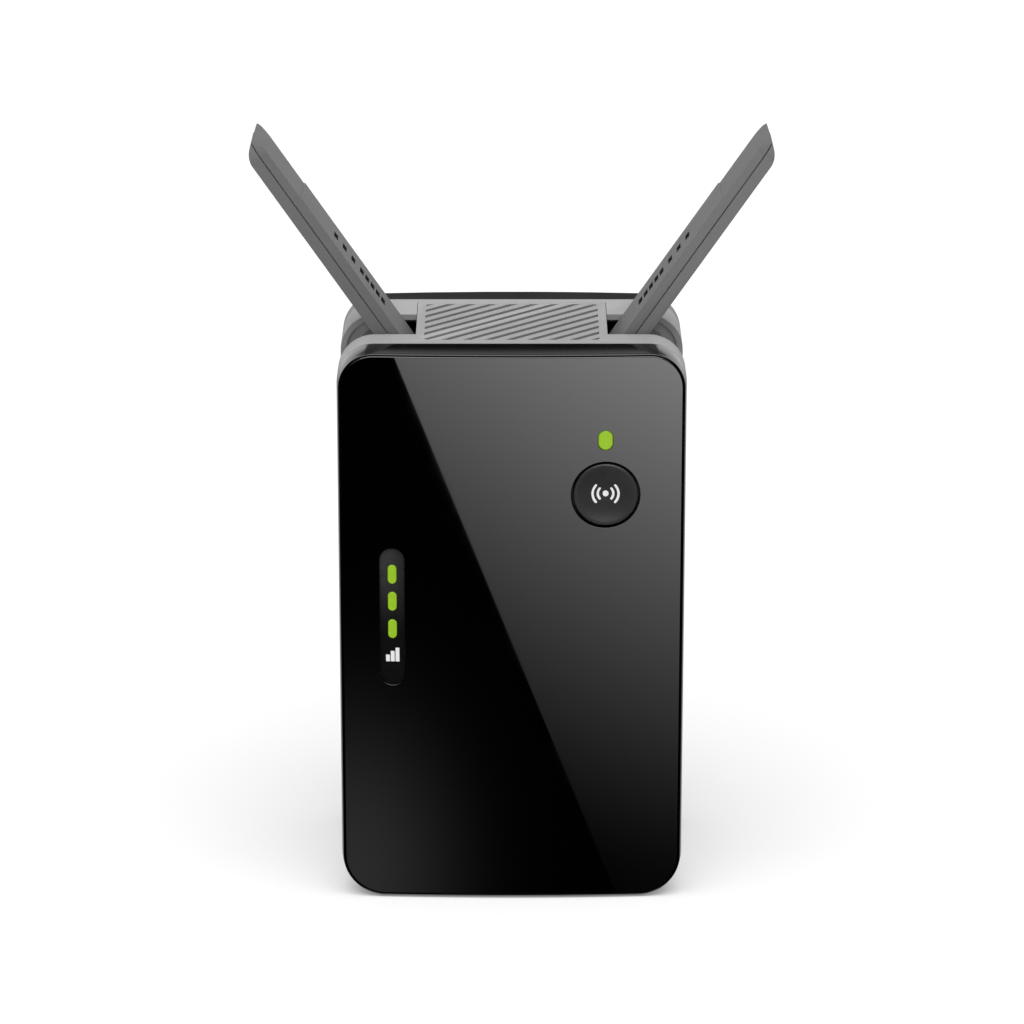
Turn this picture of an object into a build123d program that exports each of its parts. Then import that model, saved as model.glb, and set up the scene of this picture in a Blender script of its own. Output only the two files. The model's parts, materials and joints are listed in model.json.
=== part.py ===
"""Plug-in wifi range extender with two folding blade antennas.

Millimetres, +Z up, front face towards -Y. The origin is the middle of the plug
base's wall face, so the wall is the plane y = 0 and depths are counted from the
front face backwards.
"""

import os
from math import cos, radians, sin

from build123d import *

# ---- driving dimensions -------------------------------------------------------

WIDTH = 60.5
HEIGHT = 100.9
DEPTH = 41.9
TOP_CORNER = 6.5
BOTTOM_CORNER = 7.8
TOP = HEIGHT / 2
BOTTOM = -HEIGHT / 2
SIDE = WIDTH / 2

# Depths behind the front face where one layer of the case ends and the next begins.
BAND_END = 6.3
CHANNEL_START = 12.4
PARTING = 18.6
CHANNEL_END = 24.8
RAIL_END = 34.8
COVER_BACK = 41.3

WALL = 1.8
RUNNING_GAP = 0.05
LINER = 1.4
LIP = 1.0
LIP_STEP = 0.4

# The front face is part of a wide cylinder about a vertical axis.
FRONT_BOW = 400.0
PANEL_INSET = 0.55
PANEL_GAP = 0.15
PANEL_THICK = 1.6
PANEL_CUT = 6.0
TRAY_BACK = 3.9
RIM_ROUND = 0.45
LIGHT_PLAY = 0.1

# Space that the antennas fold into: floor at the sides, shelf below the hinges.
FLOOR_X = 25.8
BLOCK_X = 16.65
RAMP_TOP = -2.2
RAMP_END = -10.1
BLOCK_END = 32.9

BUTTON_AT = (16.25, 24.9)
BUTTON_HOLE_R = 6.0
BUTTON_R = 5.55
BUTTON_TRAVEL = 0.5
STATUS_AT = (16.2, 34.75)
STATUS_SIZE = (2.5, 3.5)
WINDOW_AT = (-20.85, 2.4)
WINDOW_SIZE = (4.35, 25.2)
WINDOW_RECESS = 0.5
LIGHT_SIZE = (1.5, 3.45)
SIGNAL_LIGHTS = [(WINDOW_AT[0], 10.14), (WINDOW_AT[0], 5.17), (WINDOW_AT[0], 0.09)]
BARS_AT = (-20.85, -4.7)
BAR_WIDTH = 0.68
BAR_HEIGHTS = (1.24, 1.94, 2.55)

PIVOT_X = 23.6
PIVOT_Z = TOP - 5.8
LEAN = 34.6
SHELF_Z = PIVOT_Z - 3.9
BLADE_THICK = 3.8
BLADE_OUTER = SIDE - PIVOT_X
BLADE_INNER = BLADE_OUTER - BLADE_THICK
BLADE_SEAM = BLADE_INNER + 2.15
BLADE_TIP = 45.7
BLADE_DEPTH = 11.6
BLADE_START = CHANNEL_START + 0.4
KNUCKLE_R = 3.5
SLEEVE_R = 2.2
SLEEVE_BORE = 1.3
FOOT_STOP = -17.0

MAIN_BOARD = 8.0
MAIN_BOARD_BACK = 9.2
POWER_BOARD = 31.4
POWER_BOARD_BACK = 33.0
JACK_X = 8.0
JACK_WIDTH = 15.9
JACK_HEIGHT = 13.4
JACK_LENGTH = 15.6
RESET_X = -14.0
RESET_DEPTH = 11.6
RESET_HOLE_R = 0.9

BLADE_PITCH = 12.7
PLUG_BLADE_WIDE = 6.35
PLUG_BLADE_THICK = 1.5
PLUG_BLADE_LONG = 17.0
PLUG_HOLE_AT = 11.9
PLUG_BASE_SIZE = (38.0, 30.0)

TOP_SCREWS = [(-11.5, 43.9), (11.5, 43.9)]
BOTTOM_SCREWS = [(-21.5, -42.7), (21.5, -42.7)]
SCREWS = TOP_SCREWS + BOTTOM_SCREWS
BOSS_R = 2.8
SCREW_R = 1.1
SCREW_CLEAR_R = 1.5
SCREW_HEAD_R = 2.3
BOSS_END = 23.4

# ---- planes and outlines --------------------------------------------------------


def station(depth):
    """Upright plane at a depth behind the front face, seen with x right and z up."""
    return Plane.XZ.offset(DEPTH - depth)


def case_outline(inset=0.0):
    """Rounded outline of the case in front view, moved inwards by inset."""
    with BuildSketch() as outline:
        Rectangle(WIDTH - 2 * inset, HEIGHT - 2 * inset)
        fillet(outline.vertices().group_by(Axis.Y)[-1], TOP_CORNER - inset)
        fillet(outline.vertices().group_by(Axis.Y)[0], BOTTOM_CORNER - inset)
    return outline.sketch


def wall_ring(outer=0.0, inner=WALL):
    """Closed band of the case outline between two insets."""
    with BuildSketch() as ring:
        add(case_outline(outer))
        add(case_outline(inner), mode=Mode.SUBTRACT)
    return ring.sketch


def channel_space(side, grow=0.0):
    """Front view of the space one antenna folds into, open at the top and the side."""
    beyond = SIDE + 6.0
    with BuildSketch() as space:
        with BuildLine():
            Polyline(
                (side * (BLOCK_X - grow), TOP + 6.0),
                (side * (BLOCK_X - grow), SHELF_Z - grow),
                (side * (FLOOR_X - grow), SHELF_Z - grow),
                (side * (FLOOR_X - grow), RAMP_TOP - grow),
                (side * SIDE, RAMP_END - grow),
                (side * beyond, RAMP_END - grow),
                (side * beyond, TOP + 6.0),
                close=True,
            )
        make_face()
    return space.sketch


def liner_profile(open_channels):
    """Case wall with the walls of both antenna channels, or with solid cheeks."""
    with BuildSketch() as profile:
        add(case_outline())
        add(case_outline(WALL), mode=Mode.SUBTRACT)
        for side in (-1, 1):
            add(channel_space(side, LINER))
        add(case_outline(), mode=Mode.INTERSECT)
        if open_channels:
            for side in (-1, 1):
                add(channel_space(side), mode=Mode.SUBTRACT)
    return profile.sketch


def bowed_tool(thickness_from_front):
    """Cylinder whose wall nearest the front lies this far behind the front face."""
    centre = Plane((0, FRONT_BOW - DEPTH, 0))
    with BuildPart() as tool:
        with BuildSketch(centre.offset(-HEIGHT)):
            Circle(FRONT_BOW - thickness_from_front)
        extrude(amount=2 * HEIGHT)
    return tool.part


def light_outlines(grow, size, places):
    """Upright slot shape of a light at each place, larger by grow."""
    with BuildSketch() as lights:
        with Locations(places):
            SlotOverall(size[1] + grow, size[0] + grow, 90)
    return lights.sketch


FRONT_SURFACE = bowed_tool(0.0)
PANEL_BACK = bowed_tool(PANEL_THICK)
TRAY_FRONT = bowed_tool(PANEL_THICK + 0.1)
WINDOW_FRONT = bowed_tool(WINDOW_RECESS)

os.makedirs("parts", exist_ok=True)


def keep(builder, name):
    """Label a finished piece and write it to its own file."""
    builder.part.label = name
    export_step(builder.part, f"parts/{name}.step")


# ---- front of the case ----------------------------------------------------------

with BuildPart() as front_panel:
    with BuildSketch(station(0.0)):
        add(case_outline(PANEL_INSET + PANEL_GAP))
        with Locations(BUTTON_AT):
            Circle(BUTTON_HOLE_R, mode=Mode.SUBTRACT)
        with Locations(STATUS_AT):
            SlotOverall(STATUS_SIZE[1] + LIGHT_PLAY, STATUS_SIZE[0] + LIGHT_PLAY, 90, mode=Mode.SUBTRACT)
        with Locations(WINDOW_AT):
            SlotOverall(WINDOW_SIZE[1], WINDOW_SIZE[0], 90, mode=Mode.SUBTRACT)
    extrude(amount=-PANEL_CUT)
    add(FRONT_SURFACE, mode=Mode.INTERSECT)
    add(PANEL_BACK, mode=Mode.SUBTRACT)
keep(front_panel, "front_panel")

with BuildPart() as panel_pocket:
    with BuildSketch(station(-1.0)):
        add(case_outline(PANEL_INSET))
    extrude(amount=-PANEL_CUT)
    add(TRAY_FRONT, mode=Mode.SUBTRACT)

with BuildPart() as front_bezel:
    with BuildSketch(station(0.0)):
        add(case_outline())
    extrude(amount=-BAND_END)
    add(FRONT_SURFACE, mode=Mode.INTERSECT)
    fillet(front_bezel.faces().sort_by(Axis.Y)[0].edges(), RIM_ROUND)
    add(panel_pocket.part, mode=Mode.SUBTRACT)
    with BuildSketch(station(TRAY_BACK)):
        add(case_outline(WALL))
    extrude(amount=TRAY_BACK - BAND_END, mode=Mode.SUBTRACT)
    with BuildSketch(station(0.0)):
        with Locations(BUTTON_AT):
            Circle(BUTTON_HOLE_R + 1.0)
        add(light_outlines(3 * LIGHT_PLAY, STATUS_SIZE, [STATUS_AT]))
        add(light_outlines(3 * LIGHT_PLAY, LIGHT_SIZE, SIGNAL_LIGHTS))
    extrude(amount=-TRAY_BACK, mode=Mode.SUBTRACT)
keep(front_bezel, "front_bezel")

BAR_PITCH = 0.84
BAR_SINK = 1.3
BARS = [(BARS_AT[0] + (i - 1) * BAR_PITCH, tall) for i, tall in enumerate(BAR_HEIGHTS)]
BARS_BASE = BARS_AT[1] - BAR_HEIGHTS[-1] / 2


def bar_marks():
    """Three rising bars of the signal symbol."""
    with BuildSketch() as marks:
        for x, tall in BARS:
            with Locations((x, BARS_BASE + tall / 2)):
                Rectangle(BAR_WIDTH, tall)
    return marks.sketch


with BuildPart() as signal_window:
    with BuildSketch(station(0.0)):
        with Locations(WINDOW_AT):
            SlotOverall(WINDOW_SIZE[1] - LIGHT_PLAY, WINDOW_SIZE[0] - LIGHT_PLAY, 90)
        add(light_outlines(LIGHT_PLAY, LIGHT_SIZE, SIGNAL_LIGHTS), mode=Mode.SUBTRACT)
    extrude(amount=-PANEL_CUT)
    add(WINDOW_FRONT, mode=Mode.INTERSECT)
    add(bowed_tool(PANEL_THICK + RUNNING_GAP), mode=Mode.SUBTRACT)
    with BuildSketch(station(0.0)):
        add(bar_marks())
    extrude(amount=-BAR_SINK, mode=Mode.SUBTRACT)
keep(signal_window, "signal_window")

with BuildPart() as signal_bars:
    with BuildSketch(station(0.0)):
        add(bar_marks())
    extrude(amount=-BAR_SINK)
    add(WINDOW_FRONT, mode=Mode.INTERSECT)
keep(signal_bars, "signal_bars")

PIPE_BACK = 6.9

with BuildPart() as signal_light_pipes:
    with BuildSketch(station(0.0)):
        add(light_outlines(0.0, LIGHT_SIZE, SIGNAL_LIGHTS))
    extrude(amount=-PIPE_BACK)
    add(bowed_tool(WINDOW_RECESS - LIGHT_PLAY), mode=Mode.INTERSECT)
keep(signal_light_pipes, "signal_light_pipes")

with BuildPart() as status_light_pipe:
    with BuildSketch(station(0.0)):
        add(light_outlines(0.0, STATUS_SIZE, [STATUS_AT]))
    extrude(amount=-PIPE_BACK)
    add(bowed_tool(RUNNING_GAP), mode=Mode.INTERSECT)
keep(status_light_pipe, "status_light_pipe")

SHIELD_FRONT = TRAY_BACK + 0.1
SHIELD_CORNER = 1.5
SIGNAL_SHIELD_SIZE = (6.6, 18.0)
STATUS_SHIELD_SIZE = (6.0, 6.4)

with BuildPart() as light_shield:
    with BuildSketch(station(SHIELD_FRONT)):
        with Locations(SIGNAL_LIGHTS[1]):
            RectangleRounded(*SIGNAL_SHIELD_SIZE, SHIELD_CORNER)
        with Locations(STATUS_AT):
            RectangleRounded(*STATUS_SHIELD_SIZE, SHIELD_CORNER)
        add(light_outlines(4 * LIGHT_PLAY, STATUS_SIZE, [STATUS_AT]), mode=Mode.SUBTRACT)
        add(light_outlines(4 * LIGHT_PLAY, LIGHT_SIZE, SIGNAL_LIGHTS), mode=Mode.SUBTRACT)
    extrude(amount=SHIELD_FRONT - MAIN_BOARD)
keep(light_shield, "light_shield")

# ---- pairing button --------------------------------------------------------------

CAP_FRONT = 0.35
DISH_DEPTH = 0.9
DISH_R = 14.3
FLANGE_FRONT = 2.55
FLANGE_BACK = 3.4
FLANGE_R = 6.5
STEM_R = 1.5
CAP_ROUND = 0.25
PLUNGER_FRONT = 3.8
PLUNGER_R = 1.7
SYMBOL_SINK = CAP_FRONT + DISH_DEPTH + 0.3
SYMBOL_DOT_R = 0.55
SYMBOL_ARC_RADII = (1.35, 2.25)
SYMBOL_ARC_SPAN = 84
SYMBOL_LINE = 0.42
BUTTON_CENTRE = (BUTTON_AT[0], CAP_FRONT + DISH_DEPTH - DISH_R - DEPTH, BUTTON_AT[1])


def pairing_symbol():
    """A dot between two pairs of arcs, centred on the button."""
    with BuildSketch() as symbol:
        with Locations(BUTTON_AT):
            Circle(SYMBOL_DOT_R)
            for radius in SYMBOL_ARC_RADII:
                for facing in (0, 180):
                    arc = CenterArc((0, 0), radius, facing - SYMBOL_ARC_SPAN / 2, SYMBOL_ARC_SPAN)
                    SlotArc(arc, SYMBOL_LINE)
    return symbol.sketch


with BuildPart() as dish_tool:
    with Locations(BUTTON_CENTRE):
        Sphere(DISH_R)

with BuildPart() as pair_button_cap:
    with BuildSketch(station(CAP_FRONT)):
        with Locations(BUTTON_AT):
            Circle(BUTTON_R)
    extrude(amount=CAP_FRONT - FLANGE_BACK)
    fillet(pair_button_cap.faces().sort_by(Axis.Y)[0].edges(), CAP_ROUND)
    with BuildSketch(station(FLANGE_FRONT)):
        with Locations(BUTTON_AT):
            Circle(FLANGE_R)
    extrude(amount=FLANGE_FRONT - FLANGE_BACK)
    with BuildSketch(station(FLANGE_BACK)):
        with Locations(BUTTON_AT):
            Circle(STEM_R)
    extrude(amount=FLANGE_BACK - PLUNGER_FRONT)
    add(dish_tool.part, mode=Mode.SUBTRACT)
    with BuildSketch(station(0.0)):
        add(pairing_symbol())
    extrude(amount=-SYMBOL_SINK, mode=Mode.SUBTRACT)
keep(pair_button_cap, "pair_button_cap")

with BuildPart() as pair_button_symbol:
    with BuildSketch(station(0.0)):
        add(pairing_symbol())
    extrude(amount=-SYMBOL_SINK)
    add(dish_tool.part, mode=Mode.SUBTRACT)
keep(pair_button_symbol, "pair_button_symbol")

SWITCH_FRONT = 5.0
SWITCH_HOLE_END = 6.8
SWITCH_SIZE = 6.0

with BuildPart() as pair_switch:
    with BuildSketch(station(SWITCH_FRONT)):
        with Locations(BUTTON_AT):
            RectangleRounded(SWITCH_SIZE, SWITCH_SIZE, SWITCH_SIZE / 10)
    extrude(amount=SWITCH_FRONT - MAIN_BOARD)
    with BuildSketch(station(SWITCH_FRONT)):
        with Locations(BUTTON_AT):
            Circle(PLUNGER_R + RUNNING_GAP)
    extrude(amount=SWITCH_FRONT - SWITCH_HOLE_END, mode=Mode.SUBTRACT)
keep(pair_switch, "pair_switch")

with BuildPart() as pair_switch_plunger:
    with BuildSketch(station(PLUNGER_FRONT)):
        with Locations(BUTTON_AT):
            Circle(PLUNGER_R)
    extrude(amount=PLUNGER_FRONT - SWITCH_HOLE_END + BUTTON_TRAVEL + 0.2)
keep(pair_switch_plunger, "pair_switch_plunger")

# ---- housings ------------------------------------------------------------------------

CHEEK_FRONT = CHANNEL_START - LINER - 0.1
CHEEK_REAR = CHANNEL_END + LIP_STEP
CHEEK_REAR_END = CHEEK_REAR + LINER
TONGUE_OUTER = WALL + 0.15
TONGUE_INNER = TONGUE_OUTER + 1.1
TONGUE_START = 4.4
TONGUE_ROOT = 1.2
BOSS_RIB = 1.6
HINGES = [(-PIVOT_X, PIVOT_Z), (PIVOT_X, PIVOT_Z)]
GRILLE_START = 8.6
GRILLE_STOP = 31.6
GRILLE_WIDE = 30.4
SLOT_WIDE = 1.05
SLOT_PITCH = 3.7
JACK_CUT = (JACK_WIDTH + 0.3, JACK_HEIGHT + 0.4)
JACK_FRONT = MAIN_BOARD_BACK + 0.1
JACK_MIDDLE = JACK_FRONT + JACK_HEIGHT / 2
BLOCK_FLOOR = SHELF_Z - LINER
EDGE_ROUND = 0.4

SOLID_CHEEK = liner_profile(open_channels=False)
OPEN_CHANNEL = liner_profile(open_channels=True)


def block_zone(clearance=0.0):
    """Upper middle of the case in front view, between the two hinge pockets."""
    with BuildSketch() as zone:
        with Locations((0, (TOP + BLOCK_FLOOR) / 2 + 2.0)):
            Rectangle(2 * (BLOCK_X + clearance), TOP - BLOCK_FLOOR + 4.0)
    return zone.sketch


def grille_slots():
    """Slanting slots of the top grille, seen from above, within their field."""
    middle = (GRILLE_START + GRILLE_STOP) / 2 - DEPTH
    length = GRILLE_STOP - GRILLE_START
    count = int((GRILLE_WIDE + length) / SLOT_PITCH / 2) + 1
    with BuildSketch() as slots:
        for index in range(-count, count + 1):
            with Locations((index * SLOT_PITCH, middle)):
                Rectangle(2 * GRILLE_WIDE, SLOT_WIDE, rotation=45)
        with Locations((0, middle)):
            RectangleRounded(GRILLE_WIDE, length, 0.8, mode=Mode.INTERSECT)
    return slots.sketch


def jack_opening():
    """Opening for the LAN jack in the bottom wall, seen from above."""
    with BuildSketch() as opening:
        with Locations((JACK_X, JACK_MIDDLE - DEPTH)):
            Rectangle(*JACK_CUT)
    return opening.sketch


with BuildPart() as front_housing:
    with BuildSketch(station(TONGUE_START)):
        add(wall_ring(TONGUE_OUTER, TONGUE_INNER))
    extrude(amount=TONGUE_START - BAND_END)
    with BuildSketch(station(BAND_END)):
        add(wall_ring(0.0, TONGUE_INNER))
    extrude(amount=-TONGUE_ROOT)
    with BuildSketch(station(BAND_END)):
        add(wall_ring())
    extrude(amount=BAND_END - CHEEK_FRONT)
    with BuildSketch(station(CHEEK_FRONT)):
        add(SOLID_CHEEK)
    extrude(amount=CHEEK_FRONT - CHANNEL_START)
    outer_edges = front_housing.faces().filter_by(Axis.Y).group_by(Axis.Y)
    fillet(outer_edges[-1].sort_by(SortBy.AREA)[-1].outer_wire().edges(), EDGE_ROUND)
    with BuildSketch(station(CHANNEL_START - EDGE_ROUND)):
        add(OPEN_CHANNEL)
    extrude(amount=CHANNEL_START - EDGE_ROUND - PARTING)
    with BuildSketch(station(PARTING)):
        add(OPEN_CHANNEL)
        add(block_zone(), mode=Mode.INTERSECT)
    extrude(amount=PARTING - CHANNEL_END)
    with BuildSketch(station(CHANNEL_END)):
        add(wall_ring())
        add(block_zone(), mode=Mode.INTERSECT)
    extrude(amount=CHANNEL_END - BLOCK_END)
    with BuildSketch(station(MAIN_BOARD_BACK)):
        with Locations(SCREWS):
            Circle(BOSS_R)
        for x, z in TOP_SCREWS:
            with Locations((x, (z + TOP) / 2)):
                Rectangle(BOSS_RIB, TOP - z - 1.0)
        for x, z in BOTTOM_SCREWS:
            with Locations((x, (z + BOTTOM) / 2)):
                Rectangle(BOSS_RIB, z - BOTTOM - 1.0)
    extrude(amount=MAIN_BOARD_BACK - PARTING)
    with BuildSketch(station(PARTING)):
        with Locations(SCREWS):
            Circle(BOSS_R)
    extrude(amount=PARTING - BOSS_END)
    with BuildSketch(station(MAIN_BOARD_BACK)):
        with Locations(SCREWS):
            Circle(SCREW_R)
        with Locations(HINGES):
            Circle(SLEEVE_R)
    extrude(amount=MAIN_BOARD_BACK - BOSS_END, mode=Mode.SUBTRACT)
    with BuildSketch(Plane.XY.offset(TOP - WALL - 1.0)):
        add(grille_slots())
    extrude(amount=WALL + 2.0, mode=Mode.SUBTRACT)
    with BuildSketch(Plane.XY.offset(BOTTOM - 1.0)):
        add(jack_opening())
        with Locations((RESET_X, RESET_DEPTH - DEPTH)):
            Circle(RESET_HOLE_R)
    extrude(amount=WALL + 2.0, mode=Mode.SUBTRACT)
keep(front_housing, "front_housing")

WINDOW_IN_CHEEK = (-19.6, -BLOCK_X, SHELF_Z + 1.2, TOP - LIP)
REAR_TONGUE_END = RAIL_END + 0.6
LEDGE = (12.0, 1.6)
LEDGE_START = BLOCK_END - 1.5
LEDGE_LONG = 2.8
VENT_COUNT = 9
VENT_PITCH = 3.0
VENT_SIZE = (5.4, 1.2)

with BuildPart() as rear_housing:
    with BuildSketch(station(PARTING)):
        add(OPEN_CHANNEL)
        add(block_zone(), mode=Mode.SUBTRACT)
    extrude(amount=PARTING - CHANNEL_END)
    with BuildSketch(station(CHANNEL_END)):
        add(OPEN_CHANNEL)
        add(wall_ring(0.0, LIP))
        add(block_zone(0.1), mode=Mode.SUBTRACT)
    extrude(amount=CHANNEL_END - CHEEK_REAR)
    with BuildSketch(station(CHEEK_REAR)):
        add(SOLID_CHEEK)
        add(block_zone(0.1), mode=Mode.SUBTRACT)
        for side in (-1, 1):
            left, right, low, high = WINDOW_IN_CHEEK
            with Locations((-side * (left + right) / 2, (low + high) / 2)):
                Rectangle(right - left, high - low, mode=Mode.SUBTRACT)
        with Locations(HINGES):
            Circle(SLEEVE_R, mode=Mode.SUBTRACT)
    extrude(amount=CHEEK_REAR - CHEEK_REAR_END)
    with BuildSketch(station(CHEEK_REAR_END)):
        add(wall_ring())
        add(block_zone(0.1), mode=Mode.SUBTRACT)
    extrude(amount=CHEEK_REAR_END - BLOCK_END - 0.1)
    with BuildSketch(station(BLOCK_END + 0.1)):
        add(wall_ring())
    extrude(amount=BLOCK_END + 0.1 - RAIL_END)
    with BuildSketch(station(RAIL_END - TONGUE_ROOT)):
        add(wall_ring(WALL - 0.2, TONGUE_INNER))
    extrude(amount=-TONGUE_ROOT)
    with BuildSketch(station(RAIL_END)):
        add(wall_ring(TONGUE_OUTER, TONGUE_INNER))
    extrude(amount=RAIL_END - REAR_TONGUE_END)
    with BuildSketch(station(LEDGE_START)):
        with Locations((0, TOP - WALL - LEDGE[1] / 2)):
            Rectangle(*LEDGE)
    extrude(amount=-LEDGE_LONG)
    with BuildSketch(Plane.XY.offset(BOTTOM - 1.0)):
        add(jack_opening())
        with Locations((0, (CHEEK_REAR_END + RAIL_END) / 2 - DEPTH)):
            with GridLocations(VENT_PITCH, 1.0, VENT_COUNT, 1):
                SlotOverall(*VENT_SIZE, 90)
    extrude(amount=WALL + 2.0, mode=Mode.SUBTRACT)
keep(rear_housing, "rear_housing")

# ---- rear cover and plug ----------------------------------------------------------------

BACK_BOW = 265.0
BACK_SHELL = 1.7
BACK_ROUND = 1.6
SLEEVE_OUTER = 3.4
HEAD_SEAT = 38.7
SEAT_THICK = 1.0
SEAT_PLAY = 0.25
POST_R = 1.8
POSTS = [(-18.0, -26.0), (18.0, -26.0), (-18.0, 30.0), (18.0, 30.0)]
LABEL_SIZE = (34.0, 15.0)
LABEL_AT = (0.0, -30.5)
LABEL_SEAT = 40.5
LABEL_CORNER = 1.5
LABEL_THICK = 0.22
BACK_VENTS = [(0, 27.0), (0, 31.0), (0, 35.0)]
BACK_VENT_SIZE = (26.0, 1.4)
PLUG_CORNER = 5.0
PLUG_PLAY = 0.1


def back_tool(thickness_from_back):
    """Wide upright cylinder whose rear wall is the bowed back of the rear cover."""
    centre = Plane((0, COVER_BACK - DEPTH - BACK_BOW, 0))
    with BuildPart() as tool:
        with BuildSketch(centre.offset(-HEIGHT)):
            Circle(BACK_BOW - thickness_from_back)
        extrude(amount=2 * HEIGHT)
    return tool.part


def plug_outline(grow=0.0):
    """Rounded outline of the plug base in front view, larger by grow all round."""
    with BuildSketch() as outline:
        RectangleRounded(PLUG_BASE_SIZE[0] + 2 * grow, PLUG_BASE_SIZE[1] + 2 * grow, PLUG_CORNER + grow)
    return outline.sketch


with BuildPart() as cover_inside:
    with BuildSketch(station(RAIL_END)):
        add(case_outline(WALL))
    extrude(amount=RAIL_END - COVER_BACK)
    add(back_tool(BACK_SHELL), mode=Mode.INTERSECT)

with BuildPart() as rear_cover:
    with BuildSketch(station(RAIL_END)):
        add(case_outline())
    extrude(amount=RAIL_END - DEPTH)
    add(back_tool(0.0), mode=Mode.INTERSECT)
    fillet(rear_cover.faces().sort_by(Axis.Y)[-1].edges(), BACK_ROUND)
    add(cover_inside.part, mode=Mode.SUBTRACT)
    with BuildSketch(station(BOSS_END)):
        with Locations(SCREWS):
            Circle(SLEEVE_OUTER)
    extrude(amount=BOSS_END - HEAD_SEAT - SEAT_THICK)
    with BuildSketch(station(POWER_BOARD_BACK)):
        with Locations(POSTS):
            Circle(POST_R)
    extrude(amount=POWER_BOARD_BACK - HEAD_SEAT - SEAT_THICK)
    with BuildSketch(station(BOSS_END)):
        with Locations(SCREWS):
            Circle(SCREW_CLEAR_R)
    extrude(amount=BOSS_END - DEPTH, mode=Mode.SUBTRACT)
    with BuildSketch(station(HEAD_SEAT)):
        with Locations(SCREWS):
            Circle(SCREW_HEAD_R + SEAT_PLAY)
    extrude(amount=HEAD_SEAT - DEPTH, mode=Mode.SUBTRACT)
    with BuildSketch(station(RAIL_END)):
        add(plug_outline(PLUG_PLAY))
        with Locations(BACK_VENTS):
            SlotOverall(*BACK_VENT_SIZE)
    extrude(amount=RAIL_END - DEPTH, mode=Mode.SUBTRACT)
    with BuildSketch(station(LABEL_SEAT)):
        with Locations(LABEL_AT):
            RectangleRounded(LABEL_SIZE[0] + 0.4, LABEL_SIZE[1] + 0.4, LABEL_CORNER + 0.2)
    extrude(amount=LABEL_SEAT - DEPTH, mode=Mode.SUBTRACT)
keep(rear_cover, "rear_cover")

with BuildPart() as rating_label:
    with BuildSketch(station(LABEL_SEAT)):
        with Locations(LABEL_AT):
            RectangleRounded(*LABEL_SIZE, LABEL_CORNER)
    extrude(amount=-LABEL_THICK)
keep(rating_label, "rating_label")

PLUG_FLANGE_WIDE = 1.5
PLUG_FLANGE_FRONT = 36.9
PLUG_FLANGE_BACK = 38.4
PLUG_BLADE_START = PLUG_FLANGE_FRONT - 0.8
PLUG_SIDES = (-BLADE_PITCH / 2, BLADE_PITCH / 2)
PLUG_HOLE_R = 1.6
TAIL = (1.2, 3.0)

with BuildPart() as plug_base:
    with BuildSketch(station(PLUG_FLANGE_FRONT)):
        add(plug_outline(PLUG_FLANGE_WIDE))
    extrude(amount=PLUG_FLANGE_FRONT - PLUG_FLANGE_BACK)
    with BuildSketch(station(PLUG_FLANGE_BACK)):
        add(plug_outline())
    extrude(amount=PLUG_FLANGE_BACK - DEPTH)
    with BuildSketch(station(PLUG_FLANGE_FRONT)):
        with Locations([(x, 0) for x in PLUG_SIDES]):
            Rectangle(PLUG_BLADE_THICK, PLUG_BLADE_WIDE)
    extrude(amount=PLUG_FLANGE_FRONT - DEPTH, mode=Mode.SUBTRACT)
keep(plug_base, "plug_base")


def plug_blade(x, name):
    """One flat plug blade with a round hole, a bevelled tip and a solder tail."""
    with BuildPart() as blade:
        with BuildSketch(station(PLUG_BLADE_START)):
            with Locations((x, 0)):
                Rectangle(PLUG_BLADE_THICK, PLUG_BLADE_WIDE)
        extrude(amount=PLUG_BLADE_START - DEPTH - PLUG_BLADE_LONG)
        tip = blade.faces().sort_by(Axis.Y)[-1]
        chamfer(tip.edges().filter_by(Axis.Z), PLUG_BLADE_THICK / 3)
        tip = blade.faces().sort_by(Axis.Y)[-1]
        chamfer(tip.edges().filter_by(Axis.X), PLUG_BLADE_WIDE / 5)
        with BuildSketch(station(POWER_BOARD)):
            with Locations((x, 0)):
                Rectangle(*TAIL)
        extrude(amount=POWER_BOARD - PLUG_BLADE_START)
        with BuildSketch(Plane.YZ.offset(x - PLUG_BLADE_THICK)):
            with Locations((PLUG_HOLE_AT, 0)):
                Circle(PLUG_HOLE_R)
        extrude(amount=2 * PLUG_BLADE_THICK, mode=Mode.SUBTRACT)
    keep(blade, name)


plug_blade(PLUG_SIDES[0], "plug_blade_left")
plug_blade(PLUG_SIDES[1], "plug_blade_right")

# ---- main board ---------------------------------------------------------------------------

LINK_AT = (-15.0, -22.0)
LINK_PINS = 5
LINK_PITCH = 2.54
LINK_PIN = 0.64
LINK_PIN_ENDS = (7.6, 33.6)
LINK_HOLE_R = 0.55
LINK_SOCKET_BACK = 16.0
MAIN_BOARD_SIZE = (53.0, 93.0, 3.0)
CHIP_AT = (-2.0, 12.0)
CHIP_BACK = 10.4
PAD_BACK = 10.9
COAX_AT = (17.5, 39.0)
COAX_R = 0.55
COAX_SOCKET_R = 1.3
COAX_SOCKET_BACK = 10.7
COAX_DEPTH = 10.05


def board_piece(name, depths, size, places, radius=0.0):
    """Flat-sided component standing on a board, one solid for each place."""
    front, back = depths
    with BuildPart() as piece:
        with BuildSketch(station(front)):
            with Locations(places):
                Rectangle(*size)
        extrude(amount=front - back)
        if radius:
            fillet(piece.edges().filter_by(Axis.Y), radius)
    keep(piece, name)


def can_piece(name, depths, radius, places, edge):
    """Upright round can standing on a board, one solid for each place."""
    front, back = depths
    with BuildPart() as piece:
        with BuildSketch(station(front)):
            with Locations(places):
                Circle(radius)
        extrude(amount=front - back)
        fillet(piece.faces().filter_by(Axis.Y).group_by(Axis.Y)[0].edges(), edge)
    keep(piece, name)


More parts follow.
